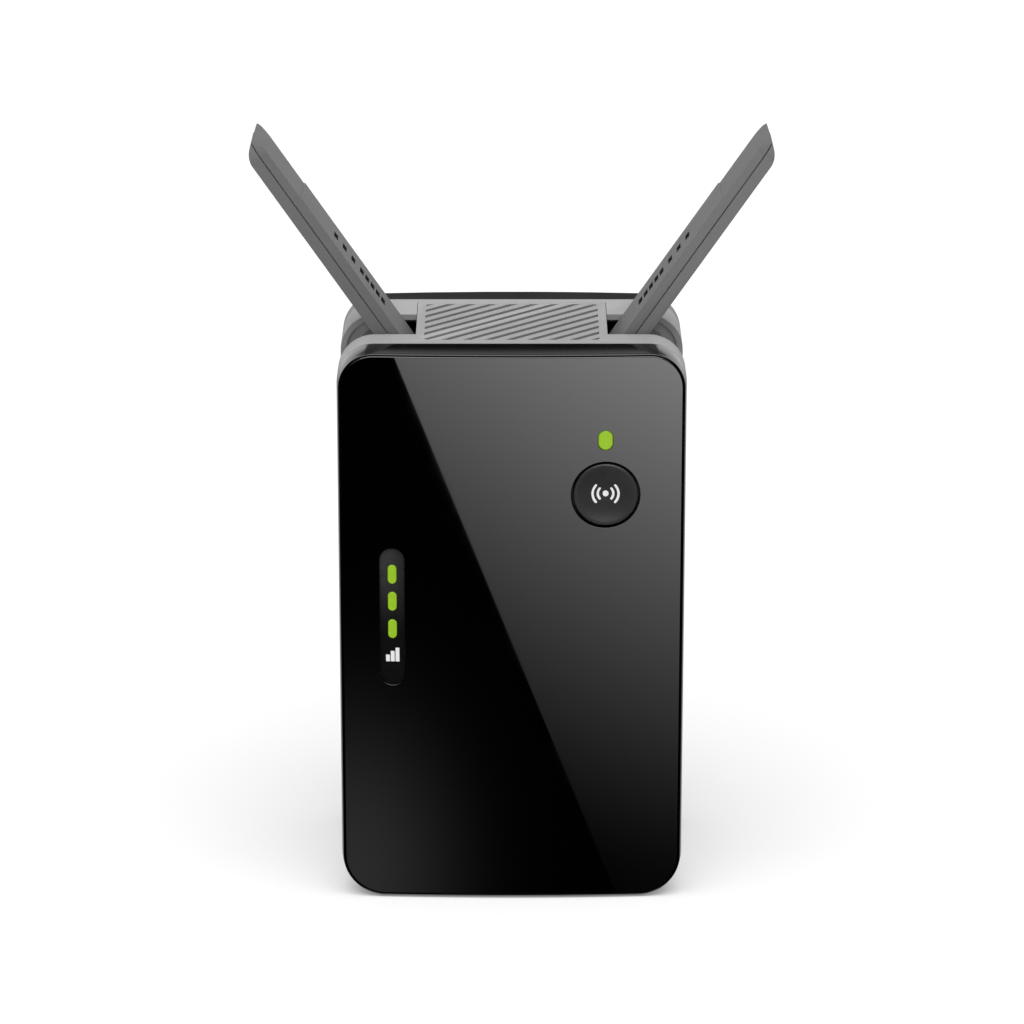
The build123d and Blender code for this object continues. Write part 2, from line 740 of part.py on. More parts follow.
with BuildPart() as main_board:
    with BuildSketch(station(MAIN_BOARD)):
        RectangleRounded(*MAIN_BOARD_SIZE)
        with Locations(SCREWS):
            Circle(SCREW_CLEAR_R, mode=Mode.SUBTRACT)
        with Locations(LINK_AT):
            with GridLocations(LINK_PITCH, 1.0, LINK_PINS, 1):
                Circle(LINK_HOLE_R, mode=Mode.SUBTRACT)
    extrude(amount=MAIN_BOARD - MAIN_BOARD_BACK)
keep(main_board, "main_board")

# Name, front and back depth, size across and up, places, corner radius.
MAIN_BOARD_PIECES = [
    ("indicator_leds", 7.3, MAIN_BOARD, (1.2, 2.0), SIGNAL_LIGHTS + [STATUS_AT], 0.0),
    ("processor", MAIN_BOARD_BACK, CHIP_BACK, (14.0, 14.0), [CHIP_AT], 0.0),
    ("thermal_pad", CHIP_BACK, PAD_BACK, (14.0, 14.0), [CHIP_AT], 1.0),
    ("memory_chip", MAIN_BOARD_BACK, 10.2, (8.0, 11.0), [(18.5, 14.0)], 0.0),
    ("flash_chip", MAIN_BOARD_BACK, 10.1, (6.0, 5.0), [(18.5, 1.0)], 0.0),
    ("crystal", MAIN_BOARD_BACK, 10.4, (5.0, 3.2), [(-21.0, 20.0)], 0.7),
    ("radio_shields", 5.6, MAIN_BOARD, (20.0, 14.0), [(-6.0, 34.0), (5.0, -18.0)], 1.0),
    ("lan_magnetics", MAIN_BOARD_BACK, 14.7, (13.0, 8.0), [(JACK_X, -27.0)], 0.0),
]

for piece_name, front, back, size, places, corner in MAIN_BOARD_PIECES:
    board_piece(piece_name, (front, back), size, places, corner)

SINK_SIZE = (28.0, 24.0)
SINK_BASE = 12.4
SINK_TOP = 15.9
FIN_COUNT = 7
FIN_THICK = 1.2
FIN_PITCH = (SINK_SIZE[0] - FIN_THICK) / (FIN_COUNT - 1)

with BuildPart() as heat_sink:
    with BuildSketch(station(PAD_BACK)):
        with Locations(CHIP_AT):
            Rectangle(*SINK_SIZE)
    extrude(amount=PAD_BACK - SINK_BASE)
    with BuildSketch(station(SINK_BASE)):
        with Locations(CHIP_AT):
            with GridLocations(FIN_PITCH, 1.0, FIN_COUNT, 1):
                Rectangle(FIN_THICK, SINK_SIZE[1])
    extrude(amount=SINK_BASE - SINK_TOP)
keep(heat_sink, "heat_sink")

with BuildPart() as board_link_pins:
    with BuildSketch(station(LINK_PIN_ENDS[0])):
        with Locations(LINK_AT):
            with GridLocations(LINK_PITCH, 1.0, LINK_PINS, 1):
                Rectangle(LINK_PIN, LINK_PIN)
    extrude(amount=LINK_PIN_ENDS[0] - LINK_PIN_ENDS[1])
keep(board_link_pins, "board_link_pins")

with BuildPart() as board_link_socket:
    with BuildSketch(station(MAIN_BOARD_BACK)):
        with Locations(LINK_AT):
            Rectangle(LINK_PINS * LINK_PITCH + 0.3, LINK_PITCH)
            with GridLocations(LINK_PITCH, 1.0, LINK_PINS, 1):
                Rectangle(LINK_PIN + 0.04, LINK_PIN + 0.04, mode=Mode.SUBTRACT)
    extrude(amount=MAIN_BOARD_BACK - LINK_SOCKET_BACK)
keep(board_link_socket, "board_link_socket")

RESET_TRAVEL = 0.25
RESET_R = 0.85
RESET_BODY_Z = (-45.9, -42.7)
RESET_BODY_WIDE = 5.0
RESET_BODY_BACK = 14.0
RESET_OUT = 1.4
RESET_SOCKET = 1.6

with BuildPart() as reset_switch:
    with BuildSketch(station(MAIN_BOARD_BACK)):
        with Locations((RESET_X, sum(RESET_BODY_Z) / 2)):
            Rectangle(RESET_BODY_WIDE, RESET_BODY_Z[1] - RESET_BODY_Z[0])
    extrude(amount=MAIN_BOARD_BACK - RESET_BODY_BACK)
    with BuildSketch(Plane.XY.offset(RESET_BODY_Z[0])):
        with Locations((RESET_X, RESET_DEPTH - DEPTH)):
            Circle(RESET_R + RUNNING_GAP)
    extrude(amount=RESET_SOCKET, mode=Mode.SUBTRACT)
keep(reset_switch, "reset_switch")

with BuildPart() as reset_plunger:
    with BuildSketch(Plane.XY.offset(RESET_BODY_Z[0] - RESET_OUT)):
        with Locations((RESET_X, RESET_DEPTH - DEPTH)):
            Circle(RESET_R)
    extrude(amount=RESET_OUT + RESET_SOCKET - RESET_TRAVEL - 0.1)
keep(reset_plunger, "reset_plunger")

JACK_FACE = BOTTOM + 0.3
JACK_CAVITY = (11.9, 8.8, 13.0)
JACK_CAVITY_FRONT = JACK_FRONT + 1.2
LATCH_NOTCH = (6.3, 2.4)
CONTACT_COUNT = 8
CONTACT_PITCH = 1.02
CONTACT_SIZE = (0.42, 0.4)
CONTACT_START = 3.0

with BuildPart() as lan_jack:
    with BuildSketch(Plane.XY.offset(JACK_FACE)):
        with Locations((JACK_X, JACK_MIDDLE - DEPTH)):
            Rectangle(JACK_WIDTH, JACK_HEIGHT)
    extrude(amount=JACK_LENGTH)
    with BuildSketch(Plane.XY.offset(JACK_FACE)):
        with Locations((JACK_X, JACK_CAVITY_FRONT + JACK_CAVITY[1] / 2 - DEPTH)):
            Rectangle(JACK_CAVITY[0], JACK_CAVITY[1])
        with Locations((JACK_X, JACK_CAVITY_FRONT + JACK_CAVITY[1] + 1.0 - DEPTH)):
            Rectangle(*LATCH_NOTCH)
    extrude(amount=JACK_CAVITY[2], mode=Mode.SUBTRACT)
keep(lan_jack, "lan_jack")

with BuildPart() as lan_contacts:
    with BuildSketch(Plane.XY.offset(JACK_FACE + CONTACT_START)):
        with Locations((JACK_X, JACK_CAVITY_FRONT + CONTACT_SIZE[1] - DEPTH)):
            with GridLocations(CONTACT_PITCH, 1.0, CONTACT_COUNT, 1):
                Rectangle(*CONTACT_SIZE)
    extrude(amount=JACK_CAVITY[2] - CONTACT_START)
keep(lan_contacts, "lan_contacts")

with BuildPart() as coax_sockets:
    with BuildSketch(station(MAIN_BOARD_BACK)):
        with Locations(COAX_AT, (-COAX_AT[0], COAX_AT[1])):
            Circle(COAX_SOCKET_R)
    extrude(amount=MAIN_BOARD_BACK - COAX_SOCKET_BACK)
keep(coax_sockets, "coax_sockets")


def antenna_cable(side, name):
    """Coaxial lead from its socket on the board into the hollow hinge sleeve."""
    y = COAX_DEPTH - DEPTH
    route = [
        (side * (COAX_AT[0] + COAX_SOCKET_R), y, COAX_AT[1]),
        (side * PIVOT_X, y, COAX_AT[1]),
        (side * PIVOT_X, y, PIVOT_Z),
        (side * PIVOT_X, PARTING - DEPTH, PIVOT_Z),
    ]
    with BuildPart() as cable:
        with BuildLine() as path:
            FilletPolyline(*route, radius=[2.2, 1.6])
        with BuildSketch(Plane(origin=route[0], z_dir=(side, 0, 0))):
            Circle(COAX_R)
        sweep(path=path.line)
    keep(cable, name)


antenna_cable(-1, "antenna_cable_left")
antenna_cable(1, "antenna_cable_right")

# ---- mains board ----------------------------------------------------------------------------

POWER_BOARD_SIZE = (43.0, 64.0, 2.0)
POWER_BOARD_RISE = 2.0

with BuildPart() as power_board:
    with BuildSketch(station(POWER_BOARD)):
        with Locations((0, POWER_BOARD_RISE)):
            RectangleRounded(*POWER_BOARD_SIZE)
        with Locations([(x, 0) for x in PLUG_SIDES]):
            Rectangle(TAIL[0] + 0.2, TAIL[1] + 0.2, mode=Mode.SUBTRACT)
        with Locations(LINK_AT):
            with GridLocations(LINK_PITCH, 1.0, LINK_PINS, 1):
                Circle(LINK_HOLE_R, mode=Mode.SUBTRACT)
    extrude(amount=POWER_BOARD - POWER_BOARD_BACK)
keep(power_board, "power_board")

CORE_AT = (-9.5, 6.0)
CORE = (18.0, 16.0)
CORE_FRONT = 17.4
YOKE = 2.2
LEG = 2.6
CORE_WINDOW = 3.6
WINDING = (12.2, 20.5, 2.5)

with BuildPart() as transformer_core:
    with BuildSketch(station(CORE_FRONT)):
        with Locations(CORE_AT):
            Rectangle(*CORE)
    extrude(amount=CORE_FRONT - POWER_BOARD)
    with BuildSketch(station(CORE_FRONT + YOKE)):
        for side in (-1, 1):
            with Locations((CORE_AT[0] + side * (LEG + CORE_WINDOW / 2), CORE_AT[1])):
                Rectangle(CORE_WINDOW, CORE[1])
    extrude(amount=CORE_FRONT - POWER_BOARD + 2 * YOKE, mode=Mode.SUBTRACT)
keep(transformer_core, "transformer_core")

with BuildPart() as transformer_winding:
    with BuildSketch(station(CORE_FRONT + YOKE + 0.2)):
        with Locations(CORE_AT):
            RectangleRounded(*WINDING)
            Rectangle(2 * LEG + 0.2, CORE[1] + 0.2, mode=Mode.SUBTRACT)
    extrude(amount=CORE_FRONT - POWER_BOARD + 2 * YOKE + 0.4)
keep(transformer_winding, "transformer_winding")

# Name, front depth, radius, places, edge rounding.
CANS = [
    ("bulk_capacitors", 17.4, 4.0, [(12.5, 27.0), (3.5, 27.0)], 0.6),
    ("output_capacitors", 19.9, 3.15, [(13.0, -14.0), (5.5, -16.0)], 0.6),
    ("line_choke", 22.4, 4.2, [(14.5, 12.0)], 0.9),
]
# Name, front and back depth, size across and up, places, corner radius.
POWER_BOARD_PIECES = [
    ("bridge_rectifier", 28.8, POWER_BOARD, (6.0, 5.0), [(-14.5, 28.0)], 0.0),
    ("safety_capacitor", 24.0, POWER_BOARD, (7.2, 3.2), [(15.0, -1.5)], 1.5),
    ("insulation_sheet", 16.6, 16.85, (43.0, 40.0), [(0, 14.0)], 1.0),
]

for piece_name, front, radius, places, edge in CANS:
    can_piece(piece_name, (front, POWER_BOARD), radius, places, edge)
for piece_name, front, back, size, places, corner in POWER_BOARD_PIECES:
    board_piece(piece_name, (front, back), size, places, corner)

FUSE_START = (-12.5, 20.5)
FUSE_LONG = 9.5
FUSE_R = 1.8

with BuildPart() as fuse:
    with BuildSketch(Plane.YZ.offset(FUSE_START[0])):
        with Locations((POWER_BOARD - FUSE_R - 0.2 - DEPTH, FUSE_START[1])):
            Circle(FUSE_R)
    extrude(amount=FUSE_LONG)
keep(fuse, "fuse")

# ---- hinges and antennas -----------------------------------------------------------------------

WASHER_FRONT = CHANNEL_END - 0.35
WASHER_BACK = CHEEK_REAR - 0.02


def hinge_pieces(side, word):
    """Hollow hinge sleeve held by both cheeks, and the spring washer on it."""
    with BuildPart() as sleeve:
        with BuildSketch(station(CHEEK_FRONT)):
            with Locations((side * PIVOT_X, PIVOT_Z)):
                Circle(SLEEVE_R)
                Circle(SLEEVE_BORE, mode=Mode.SUBTRACT)
        extrude(amount=CHEEK_FRONT - CHEEK_REAR_END)
    keep(sleeve, f"hinge_sleeve_{word}")
    with BuildPart() as washer:
        with BuildSketch(station(WASHER_FRONT)):
            with Locations((side * PIVOT_X, PIVOT_Z)):
                Circle(KNUCKLE_R - 0.2)
                Circle(SLEEVE_R + RUNNING_GAP, mode=Mode.SUBTRACT)
        extrude(amount=WASHER_FRONT - WASHER_BACK)
    keep(washer, f"friction_washer_{word}")


hinge_pieces(-1, "left")
hinge_pieces(1, "right")

LEAN_COS = cos(radians(LEAN))
LEAN_SIN = sin(radians(LEAN))
HINGE_Y = BLADE_START - DEPTH
BLADE_PLANE = Plane(
    origin=(-PIVOT_X, HINGE_Y, PIVOT_Z), x_dir=(LEAN_COS, 0, LEAN_SIN), z_dir=(0, -1, 0)
)
PLAN_PLANE = Plane(
    origin=(-PIVOT_X, HINGE_Y + BLADE_DEPTH / 2, PIVOT_Z),
    x_dir=(0, 1, 0),
    z_dir=(LEAN_COS, 0, LEAN_SIN),
)
FOOT_END = -3.2
STOP_REACH = FOOT_STOP + PIVOT_X
STOP_LOW = (STOP_REACH + LEAN_SIN * FOOT_END) / LEAN_COS
STOP_HIGH = (LEAN_COS * BLADE_OUTER - STOP_REACH) / LEAN_SIN
SEAM_TIP = BLADE_TIP - 1.3
BACK_TIP = BLADE_TIP - 4.5
BACK_TIP_BULGE = (BLADE_INNER + 0.7, BLADE_TIP - 2.55)
SEAM_GAP = 0.2
SEAM_GAP_DEEP = 0.35
TIP_CORNER = 4.2
CAVITY_WIDE = 9.0
CAVITY_LOW = 5.0
CAVITY_HIGH = BLADE_TIP - 4.1
CAVITY_FLOOR = 3.8
RADIATOR_THICK = 0.8
# The cover is a little thinner beyond a shallow curved step near its tip.
STEP_AT = 31.9
STEP_CURVE = 0.35
STEP_DEPTH = 0.2
TICKS = [7.6, 9.2, 10.8, 12.4, 14.0, 16.6, 19.2, 21.8]
TICK_SIZE = (3.0, 1.15)
TICK_DEPTH = 0.6


def blade_plan(inset=0.0):
    """Outline of the blade seen square to its broad faces, with rounded tip corners."""
    low = -KNUCKLE_R - 2.0
    high = BLADE_TIP - 2 * inset
    with BuildSketch() as plan:
        with Locations((0, (low + high) / 2)):
            Rectangle(BLADE_DEPTH - 2 * inset, high - low)
        fillet(plan.vertices().group_by(Axis.Y)[-1], TIP_CORNER - inset)
    return plan.sketch


with BuildPart() as antenna_left_body:
    with BuildSketch(BLADE_PLANE):
        Circle(KNUCKLE_R)
        with BuildLine():
            Polyline((0, FOOT_END), (BLADE_SEAM, FOOT_END), (BLADE_SEAM, SEAM_TIP))
            ThreePointArc((BLADE_SEAM, SEAM_TIP), BACK_TIP_BULGE, (BLADE_INNER, BACK_TIP))
            Polyline((BLADE_INNER, BACK_TIP), (BLADE_INNER, -FOOT_END), (0, -FOOT_END), (0, FOOT_END))
        make_face()
        Circle(SLEEVE_R + RUNNING_GAP, mode=Mode.SUBTRACT)
    extrude(amount=-BLADE_DEPTH)
    with BuildSketch(PLAN_PLANE.offset(-KNUCKLE_R - 1.0)):
        add(blade_plan())
    extrude(amount=BLADE_OUTER + KNUCKLE_R + 2.0, mode=Mode.INTERSECT)
    with BuildSketch(PLAN_PLANE.offset(CAVITY_FLOOR)):
        with Locations((0, (CAVITY_LOW + CAVITY_HIGH) / 2)):
            RectangleRounded(CAVITY_WIDE, CAVITY_HIGH - CAVITY_LOW, 2.0)
    extrude(amount=BLADE_SEAM - CAVITY_FLOOR + 0.5, mode=Mode.SUBTRACT)
    with BuildSketch(PLAN_PLANE.offset(BLADE_SEAM - SEAM_GAP)):
        with Locations((0, BLADE_TIP / 2 + KNUCKLE_R)):
            Rectangle(2 * BLADE_DEPTH, BLADE_TIP)
        add(blade_plan(SEAM_GAP_DEEP), mode=Mode.SUBTRACT)
    extrude(amount=1.0, mode=Mode.SUBTRACT)
keep(antenna_left_body, "antenna_left_body")

with BuildPart() as antenna_left_cover:
    with BuildSketch(BLADE_PLANE):
        with BuildLine():
            Polyline(
                (BLADE_SEAM, FOOT_END),
                (STOP_LOW, FOOT_END),
                (BLADE_OUTER, STOP_HIGH),
                (BLADE_OUTER, BLADE_TIP),
                (BLADE_SEAM, SEAM_TIP),
                close=True,
            )
        make_face()
    extrude(amount=-BLADE_DEPTH)
    with BuildSketch(PLAN_PLANE):
        add(blade_plan())
    extrude(amount=BLADE_OUTER + 2.0, mode=Mode.INTERSECT)
    with BuildSketch(PLAN_PLANE.offset(BLADE_OUTER - STEP_DEPTH)):
        with BuildLine():
            ThreePointArc((-BLADE_DEPTH, STEP_AT), (0, STEP_AT - STEP_CURVE), (BLADE_DEPTH, STEP_AT))
            Polyline(
                (BLADE_DEPTH, STEP_AT),
                (BLADE_DEPTH, BLADE_TIP + 1.0),
                (-BLADE_DEPTH, BLADE_TIP + 1.0),
                (-BLADE_DEPTH, STEP_AT),
            )
        make_face()
    extrude(amount=1.0, mode=Mode.SUBTRACT)
    with BuildSketch(PLAN_PLANE.offset(BLADE_OUTER - TICK_DEPTH)):
        with Locations([(0, height) for height in TICKS]):
            Rectangle(*TICK_SIZE)
    extrude(amount=1.0, mode=Mode.SUBTRACT)
keep(antenna_left_cover, "antenna_left_cover")

with BuildPart() as antenna_left_radiator:
    with BuildSketch(PLAN_PLANE.offset(CAVITY_FLOOR)):
        with Locations((0, (CAVITY_LOW + CAVITY_HIGH) / 2)):
            RectangleRounded(CAVITY_WIDE - 0.8, CAVITY_HIGH - CAVITY_LOW - 1.0, 1.6)
    extrude(amount=RADIATOR_THICK)
keep(antenna_left_radiator, "antenna_left_radiator")


def mirrored(builder, name):
    """The same piece on the other side of the case."""
    with BuildPart() as twin:
        mirror(builder.part, about=Plane.YZ)
    keep(twin, name)


mirrored(antenna_left_body, "antenna_right_body")
mirrored(antenna_left_cover, "antenna_right_cover")
mirrored(antenna_left_radiator, "antenna_right_radiator")

# ---- screws ----------------------------------------------------------------------------------------


DRIVE = (2.6, 0.6)


def screws(name, head_depths, tip_depth, drive_depth):
    """Four pan-head screws with a cross recess, in the four bosses of the case."""
    seat, head_end = head_depths
    with BuildPart() as group:
        with BuildSketch(station(seat)):
            with Locations(SCREWS):
                Circle(SCREW_HEAD_R)
        extrude(amount=seat - head_end)
        with BuildSketch(station(seat)):
            with Locations(SCREWS):
                Circle(SCREW_R)
        extrude(amount=seat - tip_depth)
        with BuildSketch(station(head_end)):
            with Locations(SCREWS):
                Rectangle(*DRIVE)
                Rectangle(*DRIVE, rotation=90)
        extrude(amount=head_end - drive_depth, mode=Mode.SUBTRACT)
    keep(group, name)


CASE_SCREW_TIP = 16.9
BOARD_SCREW_TIP = 13.9

screws("case_screws", (HEAD_SEAT, HEAD_SEAT + 1.5), CASE_SCREW_TIP, HEAD_SEAT + 0.6)
screws("board_screws", (MAIN_BOARD, MAIN_BOARD - 1.4), BOARD_SCREW_TIP, MAIN_BOARD - 0.6)
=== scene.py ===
"""Looks of the plug-in wifi range extender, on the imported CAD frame.

Everything is in metres. The front face looks towards -Y, the wall is the plane y = 0.
"""

import json
from math import cos, exp, pi, radians, sin, sqrt

import bmesh
import bpy
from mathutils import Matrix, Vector
from mathutils.geometry import tessellate_polygon

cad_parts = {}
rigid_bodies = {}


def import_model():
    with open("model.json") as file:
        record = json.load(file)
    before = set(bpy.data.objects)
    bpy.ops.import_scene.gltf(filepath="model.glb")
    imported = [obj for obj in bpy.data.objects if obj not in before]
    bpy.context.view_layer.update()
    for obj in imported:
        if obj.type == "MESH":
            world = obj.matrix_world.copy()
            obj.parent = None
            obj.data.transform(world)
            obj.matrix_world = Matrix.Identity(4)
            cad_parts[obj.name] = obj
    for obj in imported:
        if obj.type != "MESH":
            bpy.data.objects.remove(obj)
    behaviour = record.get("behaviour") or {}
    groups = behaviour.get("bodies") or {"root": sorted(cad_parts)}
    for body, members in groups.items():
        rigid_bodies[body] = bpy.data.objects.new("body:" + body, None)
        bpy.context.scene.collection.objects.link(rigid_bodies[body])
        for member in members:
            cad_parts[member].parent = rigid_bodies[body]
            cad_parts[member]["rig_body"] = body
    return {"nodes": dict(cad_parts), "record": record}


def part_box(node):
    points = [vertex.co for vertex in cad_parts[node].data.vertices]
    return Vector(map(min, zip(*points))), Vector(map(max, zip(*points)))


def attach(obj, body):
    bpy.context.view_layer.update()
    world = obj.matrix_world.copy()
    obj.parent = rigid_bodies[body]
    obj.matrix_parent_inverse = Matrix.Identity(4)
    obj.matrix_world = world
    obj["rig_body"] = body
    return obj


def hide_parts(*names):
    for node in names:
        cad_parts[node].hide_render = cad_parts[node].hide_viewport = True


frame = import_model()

MM = 0.001
NODES = frame["nodes"]
SLOT_OF = {}
for entry in frame["record"]["subparts"]:
    SLOT_OF[entry["node"]] = entry["material_slot"]


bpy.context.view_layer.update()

# ---- sizes taken from the frame ----------------------------------------------------

CASE_LOW, CASE_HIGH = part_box("front_bezel")
PANEL_LOW, PANEL_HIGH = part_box("front_panel")
BUTTON_LOW, BUTTON_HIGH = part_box("pair_button_cap")
BUTTON_AT = ((BUTTON_LOW.x + BUTTON_HIGH.x) / 2, (BUTTON_LOW.z + BUTTON_HIGH.z) / 2)
FRONT_Y = CASE_LOW.y
SIDE = CASE_HIGH.x
TOP = CASE_HIGH.z
PANEL_TOP = PANEL_HIGH.z
PANEL_TALL = PANEL_HIGH.z - PANEL_LOW.z

# ---- sizes of the front, as in the CAD ------------------------------------------------

TOP_CORNER = 6.5 * MM
BOTTOM_CORNER = 7.8 * MM
FRONT_BOW = 400.0 * MM
BACK_BOW = 265.0 * MM
PANEL_THICK = 1.6 * MM
BUTTON_HOLE = 6.0 * MM
BAND_END = 6.3 * MM
RIM = 0.45 * MM
POCKET = 0.55 * MM
PLATE_FRONT = 3.0 * MM
PLATE_BACK = 3.9 * MM
PLATE_BUTTON_HOLE = 7.0 * MM

# ---- fineness of the front's meshes ---------------------------------------------------

ARC_STEPS = 24
STRAIGHT_STEPS = 20


def front_y(x):
    """Where the bowed front face lies at a distance x from the middle."""
    return FRONT_Y + FRONT_BOW - sqrt(FRONT_BOW**2 - x**2)


# ---- meshes --------------------------------------------------------------------------


def add_piece(mesh, node, material):
    """Link a finished mesh as the piece that stands for a CAD node and rides on its body."""
    piece = bpy.data.objects.new(node + "_fine", mesh)
    bpy.context.scene.collection.objects.link(piece)
    mesh.materials.clear()
    mesh.materials.append(material)
    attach(piece, NODES[node]["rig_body"])
    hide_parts(node)
    return piece


def smooth(mesh, sharp_over=35):
    """Smooth shading, with edges sharper than an angle kept crisp."""
    mesh.shade_smooth()
    mesh.set_sharp_from_angle(angle=radians(sharp_over))


def finished(piece):
    """The mesh that a piece's modifiers make."""
    bpy.context.view_layer.update()
    graph = bpy.context.evaluated_depsgraph_get()
    return bpy.data.meshes.new_from_object(piece.evaluated_get(graph))


def mesh_from(name, vertices, faces):
    """Mesh with its faces turned outwards."""
    mesh = bpy.data.meshes.new(name)
    mesh.from_pydata(vertices, [], faces)
    work = bmesh.new()
    work.from_mesh(mesh)
    bmesh.ops.recalc_face_normals(work, faces=work.faces)
    work.to_mesh(mesh)
    work.free()
    return mesh


def welded_copy(node):
    """The CAD node's mesh with its seams closed and its flat faces whole."""
    work = bmesh.new()
    work.from_mesh(NODES[node].data)
    bmesh.ops.remove_doubles(work, verts=work.verts, dist=0.002 * MM)
    bmesh.ops.dissolve_limit(
        work, angle_limit=radians(0.4), verts=work.verts, edges=work.edges, use_dissolve_boundaries=False
    )
    mesh = bpy.data.meshes.new(node)
    work.to_mesh(mesh)
    work.free()
    return mesh


def refined(node, material, edge, steps, over=30):
    """A CAD node's shape with its edges sharper than an angle rounded, and even shading.

    The rounding's width is in millimetres and the angle in degrees.
    """
    piece = bpy.data.objects.new(node + "_fine", welded_copy(node))
    bpy.context.scene.collection.objects.link(piece)
    bevel = piece.modifiers.new("edges", "BEVEL")
    bevel.width = edge * MM
    bevel.segments = steps
    bevel.limit_method = "ANGLE"
    bevel.angle_limit = radians(over)
    bevel.use_clamp_overlap = True
    even = piece.modifiers.new("shading", "WEIGHTED_NORMAL")
    even.mode = "FACE_AREA"
    even.weight = 100
    piece.data.shade_smooth()
    mesh = finished(piece)
    bpy.data.objects.remove(piece)
    return add_piece(mesh, node, material)


def polished(mesh, normal_at, within=2.0, blend=50.0):
    """Shade faces that follow a true curved surface, and roundings that meet it, by its exact normals.

    A face follows the surface when it lies within the first angle of it, in degrees. A corner that
    it shares with a rounding takes the exact normal up to the second angle.
    """
    mesh.update()
    followed = set()
    touched = set()
    for face in mesh.polygons:
        if face.normal.dot(normal_at(face.center)) > cos(radians(within)):
            followed.add(face.index)
            touched.update(face.vertices)
    normals = [Vector(corner.vector) for corner in mesh.corner_normals]
    for face in mesh.polygons:
        for loop in face.loop_indices:
            vertex = mesh.loops[loop].vertex_index
            wanted = normal_at(mesh.vertices[vertex].co)
            near = vertex in touched and normals[loop].dot(wanted) > cos(radians(blend))
            if face.index in followed or near:
                normals[loop] = wanted
    mesh.normals_split_custom_set(normals)


def front_normal(point):
    """Exact normal of the bowed front face at a point."""
    lean = point.x / FRONT_BOW
    return Vector((lean, -sqrt(1 - lean**2), 0))


def back_normal(point):
    """Exact normal of the bowed rear face at a point."""
    lean = point.x / BACK_BOW
    return Vector((lean, sqrt(1 - lean**2), 0))


def case_loop(inset):
    """Outline of the case in front view, anticlockwise from the lower right, as (x, z)."""
    points = []
    centres = [(1, -1, BOTTOM_CORNER), (1, 1, TOP_CORNER), (-1, 1, TOP_CORNER), (-1, -1, BOTTOM_CORNER)]
    for quarter, (sx, sz, radius) in enumerate(centres):
        for step in range(ARC_STEPS + 1):
            angle = (quarter - 1 + step / ARC_STEPS) * pi / 2
            x = sx * (SIDE - radius) + (radius - inset) * cos(angle)
            z = sz * (TOP - radius) + (radius - inset) * sin(angle)
            points.append((x, z))
    full = []
    for index, point in enumerate(points):
        after = points[(index + 1) % len(points)]
        at_arc_end = index % (ARC_STEPS + 1) == ARC_STEPS
        parts = STRAIGHT_STEPS if at_arc_end else 1
        for part in range(parts):
            share = part / parts
            x = point[0] + (after[0] - point[0]) * share
            z = point[1] + (after[1] - point[1]) * share
            full.append((x, z))
    return full


def lathe(name, profile, centre, segments=96):
    """Round piece about the -Y axis through centre, from (radius, depth) points."""
    vertices = []
    faces = []
    rings = []
    for radius, depth in profile:
        if radius < 1e-9:
            rings.append([len(vertices)] * segments)
            vertices.append((centre[0], FRONT_Y + depth, centre[1]))
            continue
        rings.append(list(range(len(vertices), len(vertices) + segments)))
        for step in range(segments):
            angle = 2 * pi * step / segments
            x = centre[0] + radius * cos(angle)
            z = centre[1] + radius * sin(angle)
            vertices.append((x, FRONT_Y + depth, z))
    for ring, following in zip(rings, rings[1:]):
        for step in range(segments):
            after = (step + 1) % segments
            face = list(dict.fromkeys([ring[step], ring[after], following[after], following[step]]))
            if len(face) > 2:
                faces.append(face)
    return mesh_from(name, vertices, faces)


def rounded_slab(outlines, front, back, rounding, steps):
    """Vertices and faces of an upright plate with rounded front edges.

    Each outline gives its loop for an offset. The first is the plate's own, the rest are holes.
    """
    stations = []
    for step in range(steps + 1):
        angle = pi / 2 * step / steps
        stations.append((rounding * (1 - sin(angle)), front + rounding * (1 - cos(angle))))
    stations.append((0.0, back))
    vertices = []
    faces = []
    caps = {0: [], len(stations) - 1: []}
    for outline in outlines:
        first = len(vertices)
        size = len(outline(0.0))
        for index, (offset, y) in enumerate(stations):
            loop = [(x, y, z) for x, z in outline(offset)]
            if index in caps:
                caps[index].append((len(vertices), loop))
            vertices.extend(loop)
        for index in range(len(stations) - 1):
            ring = first + index * size
            for step in range(size):
                after = (step + 1) % size
                faces.append((ring + step, ring + after, ring + size + after, ring + size + step))
    for parts in caps.values():
        lookup = [start + step for start, loop in parts for step in range(len(loop))]
        flat = [[Vector((x, z, 0)) for x, y, z in loop] for start, loop in parts]
        faces += [tuple(lookup[corner] for corner in triangle) for triangle in tessellate_polygon(flat)]
    return vertices, faces


def middle_of(node):
    """Centre (x, z), width and height of a CAD node in front view."""
    low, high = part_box(node)
    return ((low.x + high.x) / 2, (low.z + high.z) / 2), high.x - low.x, high.z - low.z


def slot_loop(centre, width, height, steps=16):
    """Upright slot with round ends, as (x, z) points."""
    radius = width / 2
    reach = height / 2 - radius
    points = []
    for side, turn in ((1, 0), (-1, pi)):
        for step in range(steps + 1):
            angle = turn + pi * step / steps
            points.append((centre[0] + radius * cos(angle), centre[1] + side * reach + radius * sin(angle)))
    return points


def circle_loop(centre, radius, steps=64):
    """Circle, as (x, z) points."""
    return [
        (centre[0] + radius * cos(2 * pi * k / steps), centre[1] + radius * sin(2 * pi * k / steps))
        for k in range(steps)
    ]


# ---- materials -------------------------------------------------------------------------


